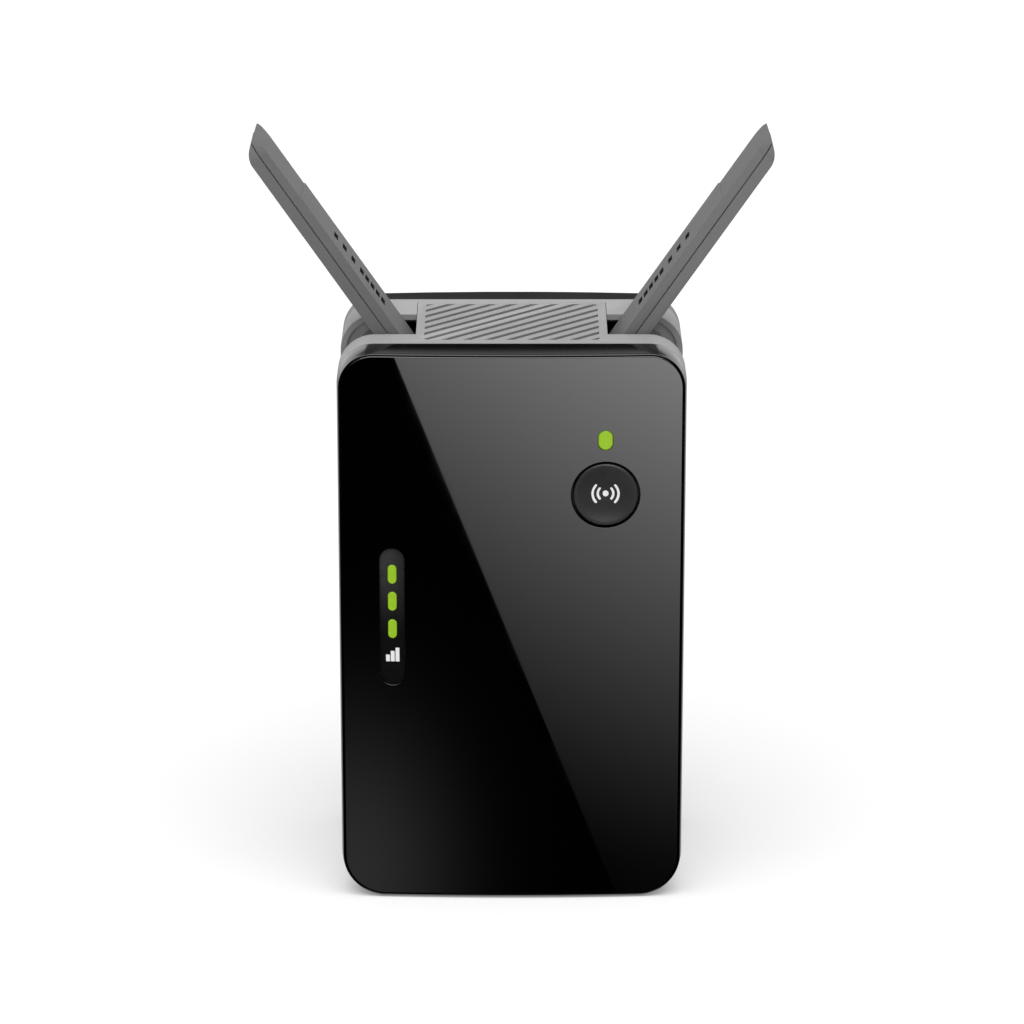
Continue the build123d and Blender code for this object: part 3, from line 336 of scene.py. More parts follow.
class Maker:
    """Builds one procedural material, node by node."""

    def __init__(self, name):
        self.material = bpy.data.materials.new(name)
        self.material.use_nodes = True
        self.tree = self.material.node_tree
        self.shader = self.tree.nodes["Principled BSDF"]
        self.place = self.node("ShaderNodeTexCoord").outputs["Object"]

    def node(self, kind, **values):
        made = self.tree.nodes.new(kind)
        for key, value in values.items():
            setattr(made, key, value)
        return made

    def link(self, source, target):
        self.tree.links.new(source, target)

    def set(self, **values):
        """Give the shader's sockets plain numbers."""
        for key, value in values.items():
            self.shader.inputs[key.replace("_", " ")].default_value = value

    def stretched(self, scale):
        """Object coordinates scaled by axis, for brushed lines."""
        mapping = self.node("ShaderNodeMapping")
        mapping.inputs["Scale"].default_value = scale
        self.link(self.place, mapping.inputs["Vector"])
        return mapping.outputs["Vector"]

    def upright(self):
        """Object coordinates turned so that a flat pattern stands up in the XZ plane."""
        mapping = self.node("ShaderNodeMapping")
        mapping.inputs["Rotation"].default_value = (radians(90), 0, 0)
        self.link(self.place, mapping.inputs["Vector"])
        return mapping.outputs["Vector"]

    def noise(self, size, detail=2.0, rough=0.5, vector=None):
        """Noise whose grains are about size millimetres across."""
        made = self.node("ShaderNodeTexNoise")
        made.inputs["Scale"].default_value = 1 / (size * MM)
        made.inputs["Detail"].default_value = detail
        made.inputs["Roughness"].default_value = rough
        self.link(vector or self.place, made.inputs["Vector"])
        return made.outputs["Fac"]

    def cells(self, size):
        """Distance to the middle of the nearest cell, for cells about size millimetres across."""
        made = self.node("ShaderNodeTexVoronoi", feature="F1")
        made.inputs["Scale"].default_value = 1 / (size * MM)
        self.link(self.place, made.inputs["Vector"])
        return made.outputs["Distance"]

    def spread(self, source, low, high, start=0.3, end=0.7):
        """A value remapped smoothly from start..end to low..high."""
        made = self.node("ShaderNodeMapRange", interpolation_type="SMOOTHSTEP")
        self.link(source, made.inputs["Value"])
        made.inputs["From Min"].default_value = start
        made.inputs["From Max"].default_value = end
        made.inputs["To Min"].default_value = low
        made.inputs["To Max"].default_value = high
        return made.outputs["Result"]

    def mixed(self, share, dark, light):
        """Blend of two colours, each a plain colour or another node's output."""
        made = self.node("ShaderNodeMix", data_type="RGBA")
        self.link(share, made.inputs["Factor"])
        for socket, value in ((made.inputs["A"], dark), (made.inputs["B"], light)):
            if hasattr(value, "is_output"):
                self.link(value, socket)
            else:
                socket.default_value = (*value, 1)
        return made.outputs["Result"]

    def joined(self, operation, first, second):
        """Sum or product of a value and a second value or plain number."""
        made = self.node("ShaderNodeMath", operation=operation)
        self.link(first, made.inputs[0])
        if hasattr(second, "is_output"):
            self.link(second, made.inputs[1])
        else:
            made.inputs[1].default_value = second
        return made.outputs["Value"]

    def worn(self, strength=1.0):
        """About one along outward edges and nought elsewhere."""
        geometry = self.node("ShaderNodeNewGeometry")
        return self.spread(geometry.outputs["Pointiness"], 0.0, strength, 0.52, 0.6)

    def bump(self, height, depth):
        """Surface relief of depth millimetres."""
        made = self.node("ShaderNodeBump")
        made.inputs["Distance"].default_value = depth * MM
        made.inputs["Strength"].default_value = 1.0
        self.link(height, made.inputs["Height"])
        self.link(made.outputs["Normal"], self.shader.inputs["Normal"])

    def colour(self, socket):
        self.link(socket, self.shader.inputs["Base Color"])

    def rough(self, socket):
        self.link(socket, self.shader.inputs["Roughness"])


def scaled(colour, factor):
    """Colour made darker or lighter by a factor."""
    return tuple(channel * factor for channel in colour)


def moulded(name, colour, rough, grain, depth, wear=1.25, blotch=0.06, gleam=0.5):
    """Textured moulded plastic: fine spark grain, faint flow marks and rubbed edges."""
    make = Maker(name)
    fine = make.noise(grain, 3.0, 0.6)
    pits = make.spread(make.cells(grain * 1.6), 0.0, 1.0, 0.05, 0.6)
    flow = make.noise(14.0, 3.0)
    body = make.mixed(make.spread(flow, 0, 1), scaled(colour, 1 - blotch), scaled(colour, 1 + blotch))
    speck = make.mixed(make.spread(fine, 0, 1, 0.35, 0.75), (0.93, 0.93, 0.93), (1.05, 1.05, 1.05))
    tinted = make.node("ShaderNodeMix", data_type="RGBA", blend_type="MULTIPLY")
    tinted.inputs["Factor"].default_value = 1.0
    make.link(body, tinted.inputs["A"])
    make.link(speck, tinted.inputs["B"])
    make.colour(make.mixed(make.worn(0.6), tinted.outputs["Result"], scaled(colour, wear)))
    make.rough(make.spread(flow, rough - 0.04, rough + 0.05))
    make.bump(make.joined("ADD", fine, pits), depth)
    make.set(IOR=1.5, Specular_IOR_Level=gleam)
    return make.material


def glossy(name, colour, rough, coat=0.0, ripple=0.0, scuff=0.03, gleam=0.5):
    """High-gloss moulded plastic: hairline scuffs, faint haze and very slight waviness."""
    make = Maker(name)
    haze = make.noise(9.0, 4.0, 0.6)
    lines = make.noise(0.9, 2.0, 0.5, make.stretched((1.0, 1.0, 0.04)))
    scratch = make.spread(lines, 0.0, scuff, 0.66, 0.74)
    make.rough(make.joined("ADD", make.spread(haze, rough, rough + 0.02), scratch))
    make.colour(make.mixed(make.spread(haze, 0, 1), scaled(colour, 0.85), scaled(colour, 1.15)))
    make.set(IOR=1.5, Specular_IOR_Level=gleam, Coat_Weight=coat, Coat_Roughness=rough * 0.7)
    if ripple:
        make.bump(make.noise(6.0, 1.0), ripple)
    return make.material


def smoked_with_painted_sheen(name, low, high):
    """Smoked satin window with a painted sheen: its colour is paler at the top and along its left edge."""
    make = Maker(name)
    parts = make.node("ShaderNodeSeparateXYZ")
    make.link(make.place, parts.inputs["Vector"])
    # painted sheen: the colour gets lighter towards the top and the left edge, in place of reflected light
    up = make.spread(parts.outputs["Z"], 0.0, 1.0, low.z + 8 * MM, high.z)
    aside = make.spread(parts.outputs["X"], 1.0, 0.55, low.x, high.x)
    haze = make.spread(make.noise(3.0), 0.9, 1.1)
    painted_sheen = make.joined("MULTIPLY", make.joined("MULTIPLY", up, aside), haze)
    make.colour(make.mixed(painted_sheen, (0.004, 0.004, 0.0042), (0.042, 0.042, 0.043)))
    make.rough(make.spread(make.noise(1.5), 0.26, 0.32))
    make.bump(make.noise(0.5, 2.0), 0.002)
    make.set(IOR=1.5, Specular_IOR_Level=0.25)
    return make.material


def metal(name, colour, rough, brushed=(1.0, 0.03, 1.0)):
    """Brushed or plated metal with fine lines, dull patches and brighter edges."""
    make = Maker(name)
    lines = make.noise(0.12, 3.0, 0.6, make.stretched(brushed))
    patches = make.noise(4.0, 4.0, 0.6)
    shade = make.mixed(make.spread(patches, 0, 1), scaled(colour, 0.8), colour)
    bright = tuple(min(1.0, channel * 1.15) for channel in colour)
    make.colour(make.mixed(make.worn(0.8), shade, bright))
    worked = make.joined("MULTIPLY", lines, patches)
    make.rough(make.spread(worked, rough - 0.06, rough + 0.12, 0.1, 0.45))
    make.bump(lines, 0.004)
    make.set(Metallic=1.0)
    return make.material


def lit(name, colour, strength):
    """Lit light guide: clear gloss face and a slightly cloudy core that glows."""
    make = Maker(name)
    cloud = make.noise(0.8, 2.0)
    core = make.mixed(make.spread(cloud, 0, 1), scaled(colour, 0.97), scaled(colour, 1.03))
    make.colour(core)
    make.link(core, make.shader.inputs["Emission Color"])
    make.set(Emission_Strength=strength, IOR=1.49, Specular_IOR_Level=0.3)
    make.set(Coat_Weight=0.1, Coat_Roughness=0.08)
    make.rough(make.spread(cloud, 0.18, 0.3))
    make.bump(make.noise(0.15, 2.0), 0.01)
    return make.material


def circuit_board(name, colour, copper):
    """Solder mask over copper: straight tracks, pour areas and small tinned pads."""
    make = Maker(name)
    tracks = make.node("ShaderNodeTexBrick", offset=0.37, squash=1.7, squash_frequency=3)
    tracks.inputs["Scale"].default_value = 1 / (3.1 * MM)
    tracks.inputs["Mortar Size"].default_value = 0.05
    tracks.inputs["Color1"].default_value = (*scaled(colour, 0.8), 1)
    tracks.inputs["Color2"].default_value = (*colour, 1)
    tracks.inputs["Mortar"].default_value = (*scaled(colour, 1.7), 1)
    make.link(make.upright(), tracks.inputs["Vector"])
    pads = make.spread(make.cells(2.7), 1.0, 0.0, 0.1, 0.14)
    weave = make.noise(0.35, 2.0, 0.5)
    make.colour(make.mixed(pads, tracks.outputs["Color"], copper))
    make.rough(make.spread(weave, 0.28, 0.42))
    make.bump(make.joined("ADD", tracks.outputs["Fac"], weave), 0.015)
    make.set(IOR=1.5, Coat_Weight=0.25, Coat_Roughness=0.2)
    return make.material


def layered(name, light, dark, layer, rough):
    """Tape or winding in fine parallel layers."""
    make = Maker(name)
    wave = make.node("ShaderNodeTexWave", wave_type="BANDS", bands_direction="X")
    wave.inputs["Scale"].default_value = 0.5 / (layer * MM)
    wave.inputs["Distortion"].default_value = 0.6
    make.link(make.place, wave.inputs["Vector"])
    make.colour(make.mixed(wave.outputs["Fac"], dark, light))
    make.rough(make.spread(make.noise(1.2), rough - 0.05, rough + 0.1))
    make.bump(wave.outputs["Fac"], 0.04)
    return make.material


def printed_label(name, low, high):
    """Silver label with plain rows of blank marks in one block."""
    make = Maker(name)
    parts = make.node("ShaderNodeSeparateXYZ")
    make.link(make.place, parts.inputs["Vector"])
    across = make.spread(parts.outputs["X"], 0.0, 1.0, low.x, high.x)
    up = make.spread(parts.outputs["Z"], 0.0, 1.0, low.z, high.z)
    rows = make.node("ShaderNodeTexBrick", offset=0.43, squash=0.6, squash_frequency=2)
    rows.inputs["Scale"].default_value = 1 / (1.9 * MM)
    rows.inputs["Mortar Size"].default_value = 0.16
    rows.inputs["Brick Width"].default_value = 1.3
    rows.inputs["Row Height"].default_value = 0.62
    make.link(make.upright(), rows.inputs["Vector"])
    columns = make.joined(
        "MULTIPLY", make.spread(across, 0, 1, 0.06, 0.08), make.spread(across, 1, 0, 0.6, 0.62)
    )
    lines = make.joined("MULTIPLY", make.spread(up, 0, 1, 0.12, 0.14), make.spread(up, 1, 0, 0.84, 0.86))
    block = make.joined("MULTIPLY", columns, lines)
    marks = make.joined("ADD", make.joined("MULTIPLY", rows.outputs["Fac"], -1.0), 1.0)
    ink = make.joined("MULTIPLY", marks, block)
    foil = make.mixed(make.noise(0.3, 2.0), (0.5, 0.51, 0.52), (0.62, 0.63, 0.64))
    make.colour(make.mixed(ink, foil, (0.03, 0.03, 0.035)))
    make.rough(make.spread(make.noise(2.0), 0.3, 0.42))
    make.bump(make.noise(0.4, 2.0), 0.004)
    make.set(Metallic=0.35, IOR=1.5)
    return make.material


MATERIALS = {
    "panel_gloss": glossy("panel_gloss", (0.0003, 0.0003, 0.00032), 0.015, coat=1.0, scuff=0.01),
    "shell_gloss_black": glossy("shell_gloss_black", (0.003, 0.003, 0.0031), 0.13, ripple=0.004),
    "shell_satin_black": glossy(
        "shell_satin_black", (0.006, 0.006, 0.0062), 0.3, ripple=0.006, gleam=0.25
    ),
    "case_grey": moulded("case_grey", (0.3, 0.3, 0.305), 0.55, 0.16, 0.012, blotch=0.02, gleam=0.3),
    "antenna_grey": moulded(
        "antenna_grey", (0.148, 0.149, 0.151), 0.6, 0.12, 0.008, blotch=0.025, gleam=0.12
    ),
    "matte_black": moulded("matte_black", (0.014, 0.014, 0.015), 0.52, 0.22, 0.014, wear=2.2),
    "plug_metal": metal("plug_metal", (0.66, 0.63, 0.57), 0.28),
    "window_black": smoked_with_painted_sheen("window_black", *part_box("signal_window")),
    "symbol_white": moulded("symbol_white", (0.82, 0.82, 0.82), 0.4, 0.1, 0.004, wear=1.0, blotch=0.02),
    # near-black colour for the antennas' sunken marks
    "marks_near_black": moulded("marks_near_black", (0.02, 0.02, 0.02), 0.6, 0.1, 0.004, wear=1.0, gleam=0.15),
    "light_green": lit("light_green", (0.21, 0.37, 0.012), 0.42),
    "led_lens": lit("led_lens", (0.45, 0.75, 0.12), 0.9),
    "button_gloss": glossy("button_gloss", (0.03, 0.03, 0.0305), 0.34, ripple=0.003),
    "button_white": moulded("button_white", (0.6, 0.6, 0.58), 0.45, 0.2, 0.01, wear=1.05),
    "board_green": circuit_board("board_green", (0.008, 0.07, 0.022), (0.5, 0.42, 0.3)),
    "chip_black": moulded("chip_black", (0.018, 0.018, 0.019), 0.55, 0.08, 0.012, wear=1.6),
    "pad_grey": moulded("pad_grey", (0.3, 0.32, 0.36), 0.7, 0.3, 0.03, wear=1.0),
    "sink_aluminium": metal("sink_aluminium", (0.72, 0.73, 0.74), 0.36, (1.0, 1.0, 0.03)),
    "shield_steel": metal("shield_steel", (0.62, 0.61, 0.58), 0.32, (0.04, 1.0, 1.0)),
    "jack_black": moulded("jack_black", (0.012, 0.012, 0.013), 0.42, 0.14, 0.008, wear=2.0),
    "contact_gold": metal("contact_gold", (0.85, 0.62, 0.22), 0.22),
    "cable_black": moulded("cable_black", (0.02, 0.02, 0.021), 0.45, 0.25, 0.015, wear=1.3),
    "ferrite": moulded("ferrite", (0.035, 0.035, 0.038), 0.62, 0.12, 0.02, wear=1.5),
    "winding_tape": layered("winding_tape", (0.75, 0.52, 0.05), (0.55, 0.36, 0.03), 0.5, 0.35),
    "capacitor_sleeve": glossy("capacitor_sleeve", (0.015, 0.017, 0.03), 0.25, coat=0.2),
    "fuse_sleeve": layered("fuse_sleeve", (0.5, 0.4, 0.28), (0.36, 0.28, 0.2), 0.8, 0.45),
    "capacitor_blue": glossy("capacitor_blue", (0.02, 0.12, 0.38), 0.28, coat=0.3),
    "sheet_clear": glossy("sheet_clear", (0.55, 0.52, 0.42), 0.3),
    "hinge_steel": metal("hinge_steel", (0.5, 0.5, 0.5), 0.3),
    "screw_steel": metal("screw_steel", (0.42, 0.42, 0.43), 0.34, (1.0, 1.0, 1.0)),
    "label_silver": printed_label("label_silver", *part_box("rating_label")),
}

for node, piece in NODES.items():
    piece.data.materials.clear()
    piece.data.materials.append(MATERIALS[SLOT_OF[node]])

# ---- front panel, bezel, window and button ----------------------------------------------


def bowed(mesh, spacing=2.0 * MM):
    """Cut an upright plate into narrow strips and bend it to the bow of the front face."""
    work = bmesh.new()
    work.from_mesh(mesh)
    reach = int(SIDE / spacing)
    for index in range(-reach, reach + 1):
        bmesh.ops.bisect_plane(
            work,
            geom=work.verts[:] + work.edges[:] + work.faces[:],
            dist=0.0005 * MM,
            plane_co=(index * spacing, 0, 0),
            plane_no=(1, 0, 0),
        )
    for vertex in work.verts:
        vertex.co.y += front_y(vertex.co.x) - FRONT_Y
    bmesh.ops.recalc_face_normals(work, faces=work.faces)
    work.to_mesh(mesh)
    work.free()


HOLE_EDGE = 0.3


def hole(centre, width, height, grow):
    """Outline of an upright slot in a plate, with a crisper edge than the plate's own."""

    def outline(offset):
        wider = 2 * (grow + HOLE_EDGE * offset)
        return slot_loop(centre, width + wider, height + wider)

    return outline


def front_panel():
    """Bowed gloss panel with softly rounded edges and a true mirror surface."""
    inset = SIDE - PANEL_HIGH.x
    outlines = [
        lambda offset: case_loop(inset + offset),
        lambda offset: circle_loop(BUTTON_AT, BUTTON_HOLE + HOLE_EDGE * offset, 96),
        hole(*middle_of("status_light_pipe"), 0.05 * MM),
        hole(*middle_of("signal_window"), 0.05 * MM),
    ]
    plate = rounded_slab(outlines, FRONT_Y, FRONT_Y + PANEL_THICK, 0.2 * MM, 4)
    mesh = mesh_from("front_panel", *plate)
    bowed(mesh)
    smooth(mesh)
    polished(mesh, front_normal)
    add_piece(mesh, "front_panel", MATERIALS["panel_gloss"])


def band_profile():
    """(inset, depth, bow) round the bezel's rim and side band, starting in the panel pocket."""
    taper = 0.3 * MM
    wall = 1.8 * MM
    back = BAND_END - 0.02 * MM
    points = [(POCKET, PLATE_FRONT, 1.0), (POCKET, 0.1 * MM, 1.0), (POCKET - 0.04 * MM, 0.03 * MM, 1.0)]
    for step in range(11):
        angle = pi / 2 * step / 10
        points.append((taper + (RIM - taper) * (1 - sin(angle)), RIM * (1 - cos(angle)), 1.0))
    for step in range(1, 21):
        along = step / 20
        depth = RIM + (BAND_END - 0.25 * MM - RIM) * along
        points.append((taper * (1 - along) ** 2.6, depth, 1 - along))
    points += [(0.05 * MM, BAND_END - 0.1 * MM, 0), (0.2 * MM, back, 0)]
    points += [(wall, back, 0), (wall, PLATE_BACK, 0)]
    return points


def front_bezel():
    """Gloss black rim and band, and the plate behind the panel with its openings."""
    vertices = []
    faces = []
    profile = band_profile()
    size = len(case_loop(0.0))
    for inset, depth, bow in profile:
        for x, z in case_loop(inset):
            vertices.append((x, FRONT_Y + depth + bow * (front_y(x) - FRONT_Y), z))
    rows = len(profile)
    for row in range(rows):
        following = (row + 1) % rows
        for step in range(size):
            after = (step + 1) % size
            near = (row * size + step, row * size + after)
            far = (following * size + after, following * size + step)
            faces.append(near + far)
    outlines = [
        lambda offset: case_loop(1.5 * MM + offset),
        lambda offset: circle_loop(BUTTON_AT, PLATE_BUTTON_HOLE + offset),
        hole(*middle_of("status_light_pipe"), 0.15 * MM),
        hole(*middle_of("signal_light_pipes"), 0.15 * MM),
    ]
    plate, plate_faces = rounded_slab(outlines, FRONT_Y + PLATE_FRONT, FRONT_Y + PLATE_BACK, 0.1 * MM, 1)
    start = len(vertices)
    faces += [tuple(start + corner for corner in face) for face in plate_faces]
    mesh = mesh_from("front_bezel", vertices + plate, faces)
    smooth(mesh)
    add_piece(mesh, "front_bezel", MATERIALS["shell_gloss_black"])


def pair_button():
    """Button cap with a polished dish, a rounded rim, a flange and a stem."""
    cap_front = BUTTON_LOW.y - FRONT_Y
    stem_end = BUTTON_HIGH.y - FRONT_Y
    dish_edge = 5.02 * MM
    dish_depth = 0.9 * MM
    dish_radius = (dish_edge**2 + dish_depth**2) / (2 * dish_depth)
    flange = (BUTTON_HIGH.x - BUTTON_LOW.x) / 2
    flange_front = 2.55 * MM
    flange_back = 3.4 * MM
    stem = 1.5 * MM
    outer = flange - 0.95 * MM
    rounding = 0.25 * MM
    profile = []
    for step in range(25):
        radius = dish_edge * step / 24
        profile.append((radius, cap_front + dish_depth - dish_radius + sqrt(dish_radius**2 - radius**2)))
    for step in range(9):
        angle = pi / 2 * step / 8
        profile.append((outer - rounding * (1 - sin(angle)), cap_front + rounding * (1 - cos(angle))))
    profile += [(outer, flange_front), (flange, flange_front), (flange, flange_back)]
    profile += [(stem, flange_back), (stem, stem_end), (0, stem_end)]
    mesh = lathe("pair_button_cap", profile, BUTTON_AT)
    smooth(mesh, 28)
    add_piece(mesh, "pair_button_cap", MATERIALS["button_gloss"])


front_panel()
front_bezel()
pair_button()
window = refined("signal_window", MATERIALS["window_black"], edge=0.12, steps=3)
polished(window.data, front_normal)
refined("signal_light_pipes", MATERIALS["light_green"], edge=0.15, steps=3)
refined("status_light_pipe", MATERIALS["light_green"], edge=0.25, steps=4)

# ---- housings, cover, plug ------------------------------------------------------------------

refined("front_housing", MATERIALS["case_grey"], edge=0.18, steps=2, over=14)
refined("rear_housing", MATERIALS["case_grey"], edge=0.18, steps=2, over=14)
rear_cover = refined("rear_cover", MATERIALS["shell_satin_black"], edge=0.2, steps=2)
polished(rear_cover.data, back_normal)
refined("plug_base", MATERIALS["matte_black"], edge=0.4, steps=3)
for side in ("left", "right"):
    refined(f"plug_blade_{side}", MATERIALS["plug_metal"], edge=0.12, steps=3)
refined("lan_jack", MATERIALS["jack_black"], edge=0.15, steps=2)
refined("case_screws", MATERIALS["screw_steel"], edge=0.18, steps=3)

# ---- antennas ---------------------------------------------------------------------------------

LEAN = radians(34.6)
MARKS_START = 6.9 * MM
MARKS_END = 22.5 * MM
MARKS_HALF = 1.56 * MM
MARKS_DEPTH = (0.12 * MM, 0.66 * MM)


def darken_sunken_marks(piece, pivot, facing):
    """Give the sunken marks of an antenna's cover a near-black colour.

    The marks lie in one row along the blade, below the level of its outer face.
    """
    outwards = Vector((-facing * cos(LEAN), 0, sin(LEAN)))
    along = Vector((facing * sin(LEAN), 0, cos(LEAN)))
    mesh = piece.data
    face_height = max((vertex.co - pivot).dot(outwards) for vertex in mesh.vertices)
    depths = [vertex.co.y for vertex in mesh.vertices]
    middle = (min(depths) + max(depths)) / 2
    # the sunken faces of the marks get a near-black colour
    mesh.materials.append(MATERIALS["marks_near_black"])
    for face in mesh.polygons:
        place = face.center - pivot
        in_row = MARKS_START < place.dot(along) < MARKS_END and abs(face.center.y - middle) < MARKS_HALF
        sunken = MARKS_DEPTH[0] < face_height - place.dot(outwards) < MARKS_DEPTH[1]
        if in_row and sunken:
            face.material_index = 1


JOINTS = {joint["name"]: joint for joint in frame["record"]["behaviour"]["joints"]}
for side, facing in (("left", -1), ("right", 1)):
    refined(f"antenna_{side}_body", MATERIALS["antenna_grey"], edge=0.3, steps=3)
    cover = refined(f"antenna_{side}_cover", MATERIALS["antenna_grey"], edge=0.22, steps=3)
    darken_sunken_marks(cover, Vector(JOINTS[f"antenna_{side}_fold"]["pos_m"]), facing)

# ---- camera ---------------------------------------------------------------------------------------

PITCH = radians(18.16)
DISTANCE = 784 * MM
AIM = Vector((0.05 * MM, FRONT_Y, CASE_LOW.z + 72.36 * MM))

camera = bpy.data.objects.new("camera", bpy.data.cameras.new("camera"))
bpy.context.scene.collection.objects.link(camera)
camera.data.sensor_width = 36
camera.data.lens = 159.2
camera.data.clip_start = 0.01
camera.location = AIM + DISTANCE * Vector((0, -cos(PITCH), sin(PITCH)))
camera.rotation_euler = (AIM - camera.location).to_track_quat("-Z", "Y").to_euler()
bpy.context.scene.camera = camera

# ---- floor, lights and the cards mirrored in the panel -----------------------------------------------

FLOOR_Z = -TOP - 0.02 * MM
FLOOR_CORNERS = [(x, y, FLOOR_Z) for x, y in ((-8, -8), (8, -8), (8, 8), (-8, 8))]

floor_mesh = mesh_from("floor", FLOOR_CORNERS, [(0, 1, 2, 3)])
floor = bpy.data.objects.new("floor", floor_mesh)
bpy.context.scene.collection.objects.link(floor)
paper = Maker("floor_paper")
paper.colour(paper.mixed(paper.noise(40.0), (0.66, 0.66, 0.66), (0.68, 0.68, 0.68)))
paper.set(Roughness=0.9, Specular_IOR_Level=0.0, Emission_Strength=0.25)
paper.shader.inputs["Emission Color"].default_value = (1, 1, 1, 1)
floor_mesh.materials.append(paper.material)
floor.visible_glossy = False

CARD_Y = FRONT_Y - 500 * MM
DIAGONAL_TOP = -20.2 * MM
DIAGONAL_RUN = 38.8 * MM
OVERHANG = 3 * MM


def seen_in_panel(x, z):
    """Point on the card's plane that the camera sees mirrored in the panel at (x, z)."""
    point = Vector((x, front_y(x), z))
    ray = (point - camera.location).normalized()
    normal = front_normal(point)
    mirrored = ray - 2 * ray.dot(normal) * normal
    return point + mirrored * ((CARD_Y - point.y) / mirrored.y)


def light_card(name, left, right, glow, rows=40, columns=16):
    """Glowing card between two edges given by height on the panel, seen only in reflections."""
    vertices = []
    values = []
    reach = TOP + OVERHANG
    for row in range(rows + 1):
        z = -reach + 2 * reach * row / rows
        for column in range(columns + 1):
            x = left(z) + (right(z) - left(z)) * column / columns
            vertices.append(seen_in_panel(x, z))
            values.append(glow(x, z))
    faces = []
    wide = columns + 1
    for row in range(rows):
        for column in range(columns):
            start = row * wide + column
            faces.append((start, start + 1, start + wide + 1, start + wide))
    mesh = bpy.data.meshes.new(name)
    mesh.from_pydata(vertices, [], faces)
    mesh.attributes.new("glow", "FLOAT", "POINT").data.foreach_set("value", values)
    card = bpy.data.objects.new(name, mesh)
    bpy.context.scene.collection.objects.link(card)
    material = bpy.data.materials.new(name)
    material.use_nodes = True
    tree = material.node_tree
    tree.nodes.clear()
    glow_value = tree.nodes.new("ShaderNodeAttribute")
    glow_value.attribute_name = "glow"
    emission = tree.nodes.new("ShaderNodeEmission")
    output = tree.nodes.new("ShaderNodeOutputMaterial")
    tree.links.new(glow_value.outputs["Fac"], emission.inputs["Strength"])
    tree.links.new(emission.outputs["Emission"], output.inputs["Surface"])
    mesh.materials.append(material)
    card.visible_camera = False
    card.visible_diffuse = False
    card.visible_shadow = False
    card.visible_transmission = False


def diagonal(z):
    """Where the edge of the bright card shows on the panel at a height."""
    return DIAGONAL_TOP + DIAGONAL_RUN * (PANEL_TOP - z) / PANEL_TALL


def bright(x, z):
    """Glow of the card on the right, strongest at the top right."""
    up = max(0.0, 1 - (PANEL_TOP - z) / PANEL_TALL)
    across = 0.5 + 0.5 * (x - diagonal(z)) / (SIDE - diagonal(z))
    return (2.42 * up**1.85 + 0.03) * across


def faint(x, z):
    """Glow of the card on the left, a soft patch at the lower left."""
    aside = (x + 29 * MM) / (16 * MM)
    above = (z + 46 * MM) / (26 * MM)
    return 0.3 * exp(-(aside**2) - above**2)


light_card("bright_card", diagonal, lambda z: SIDE + OVERHANG, bright)
light_card("faint_card", lambda z: -SIDE - OVERHANG, diagonal, faint)


def overhead_light(strength, spread, lean):
    """Broad even light from above and a little in front."""
    data = bpy.data.lights.new("overhead", "SUN")
    data.energy = strength
    data.angle = radians(spread)
    light = bpy.data.objects.new("overhead", data)
    bpy.context.scene.collection.objects.link(light)
    light.rotation_euler = (radians(lean), 0, 0)


overhead_light(3.2, 70, 20)


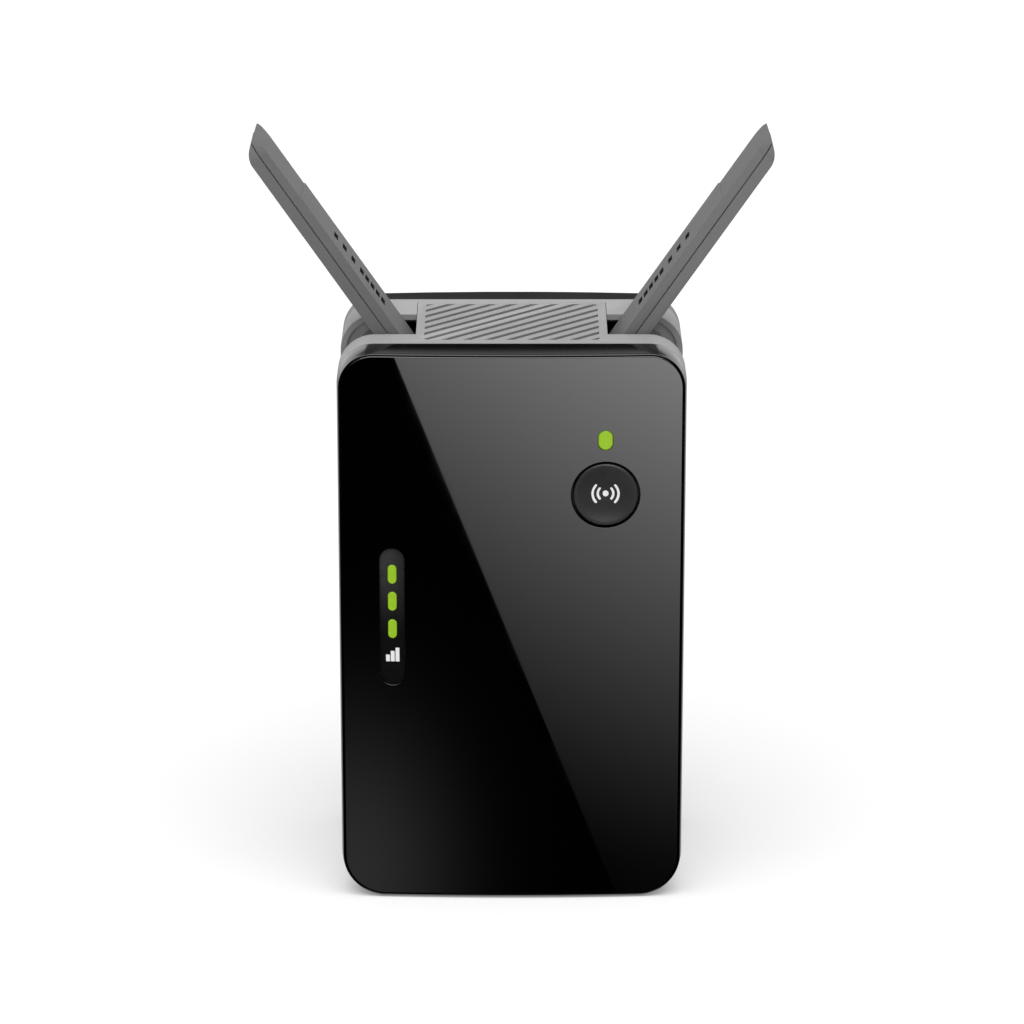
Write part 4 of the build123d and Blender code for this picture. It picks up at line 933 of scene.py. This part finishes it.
def studio_world():
    """White backdrop, even fill light, and soft light and dark areas for what gloss mirrors."""
    world = bpy.data.worlds.new("studio")
    bpy.context.scene.world = world
    world.use_nodes = True
    world.cycles.sampling_method = "NONE"
    tree = world.node_tree
    tree.nodes.clear()
    place = tree.nodes.new("ShaderNodeTexCoord")
    parts = tree.nodes.new("ShaderNodeSeparateXYZ")
    tree.links.new(place.outputs["Generated"], parts.inputs["Vector"])

    def ramp(source, start, end, low, high):
        made = tree.nodes.new("ShaderNodeMapRange")
        made.interpolation_type = "SMOOTHSTEP"
        tree.links.new(source, made.inputs["Value"])
        made.inputs["From Min"].default_value = start
        made.inputs["From Max"].default_value = end
        made.inputs["To Min"].default_value = low
        made.inputs["To Max"].default_value = high
        return made.outputs["Result"]

    def joined(operation, first, second):
        made = tree.nodes.new("ShaderNodeMath")
        made.operation = operation
        tree.links.new(first, made.inputs[0])
        tree.links.new(second, made.inputs[1])
        return made.outputs["Value"]

    height = parts.outputs["Z"]
    aside = tree.nodes.new("ShaderNodeMath")
    aside.operation = "ABSOLUTE"
    tree.links.new(parts.outputs["X"], aside.inputs[0])
    behind = ramp(parts.outputs["Y"], -0.3, 0.5, 0.0, 1.0)
    clear_of_flag = ramp(aside.outputs["Value"], 0.04, 0.17, 0.0, 1.5)
    low_back = joined("MULTIPLY", clear_of_flag, ramp(height, 0.3, 0.45, 1.0, 0.0))
    low_back = joined("MULTIPLY", behind, low_back)
    low_back = joined("MULTIPLY", low_back, ramp(height, -0.3, 0.0, 0.35, 1.0))
    high_sky = ramp(height, 0.34, 0.8, 0.0, 1.8)
    front = ramp(parts.outputs["Y"], -0.9, -0.2, 1.0, 0.0)
    front_sky = joined("MULTIPLY", front, ramp(height, 0.1, 0.6, 0.0, 1.2))
    gloss_value = joined("ADD", joined("ADD", low_back, high_sky), front_sky)
    paths = tree.nodes.new("ShaderNodeLightPath")
    plain = tree.nodes.new("ShaderNodeBackground")
    plain.inputs["Strength"].default_value = 0.35
    mirrored = tree.nodes.new("ShaderNodeBackground")
    tree.links.new(gloss_value, mirrored.inputs["Strength"])
    backdrop = tree.nodes.new("ShaderNodeBackground")
    backdrop.inputs["Strength"].default_value = 1.3
    for_gloss = tree.nodes.new("ShaderNodeMixShader")
    tree.links.new(paths.outputs["Is Glossy Ray"], for_gloss.inputs["Fac"])
    tree.links.new(plain.outputs["Background"], for_gloss.inputs[1])
    tree.links.new(mirrored.outputs["Background"], for_gloss.inputs[2])
    for_camera = tree.nodes.new("ShaderNodeMixShader")
    tree.links.new(paths.outputs["Is Camera Ray"], for_camera.inputs["Fac"])
    tree.links.new(for_gloss.outputs["Shader"], for_camera.inputs[1])
    tree.links.new(backdrop.outputs["Background"], for_camera.inputs[2])
    output = tree.nodes.new("ShaderNodeOutputWorld")
    tree.links.new(for_camera.outputs["Shader"], output.inputs["Surface"])


studio_world()
bpy.context.scene.view_settings.view_transform = "Standard"
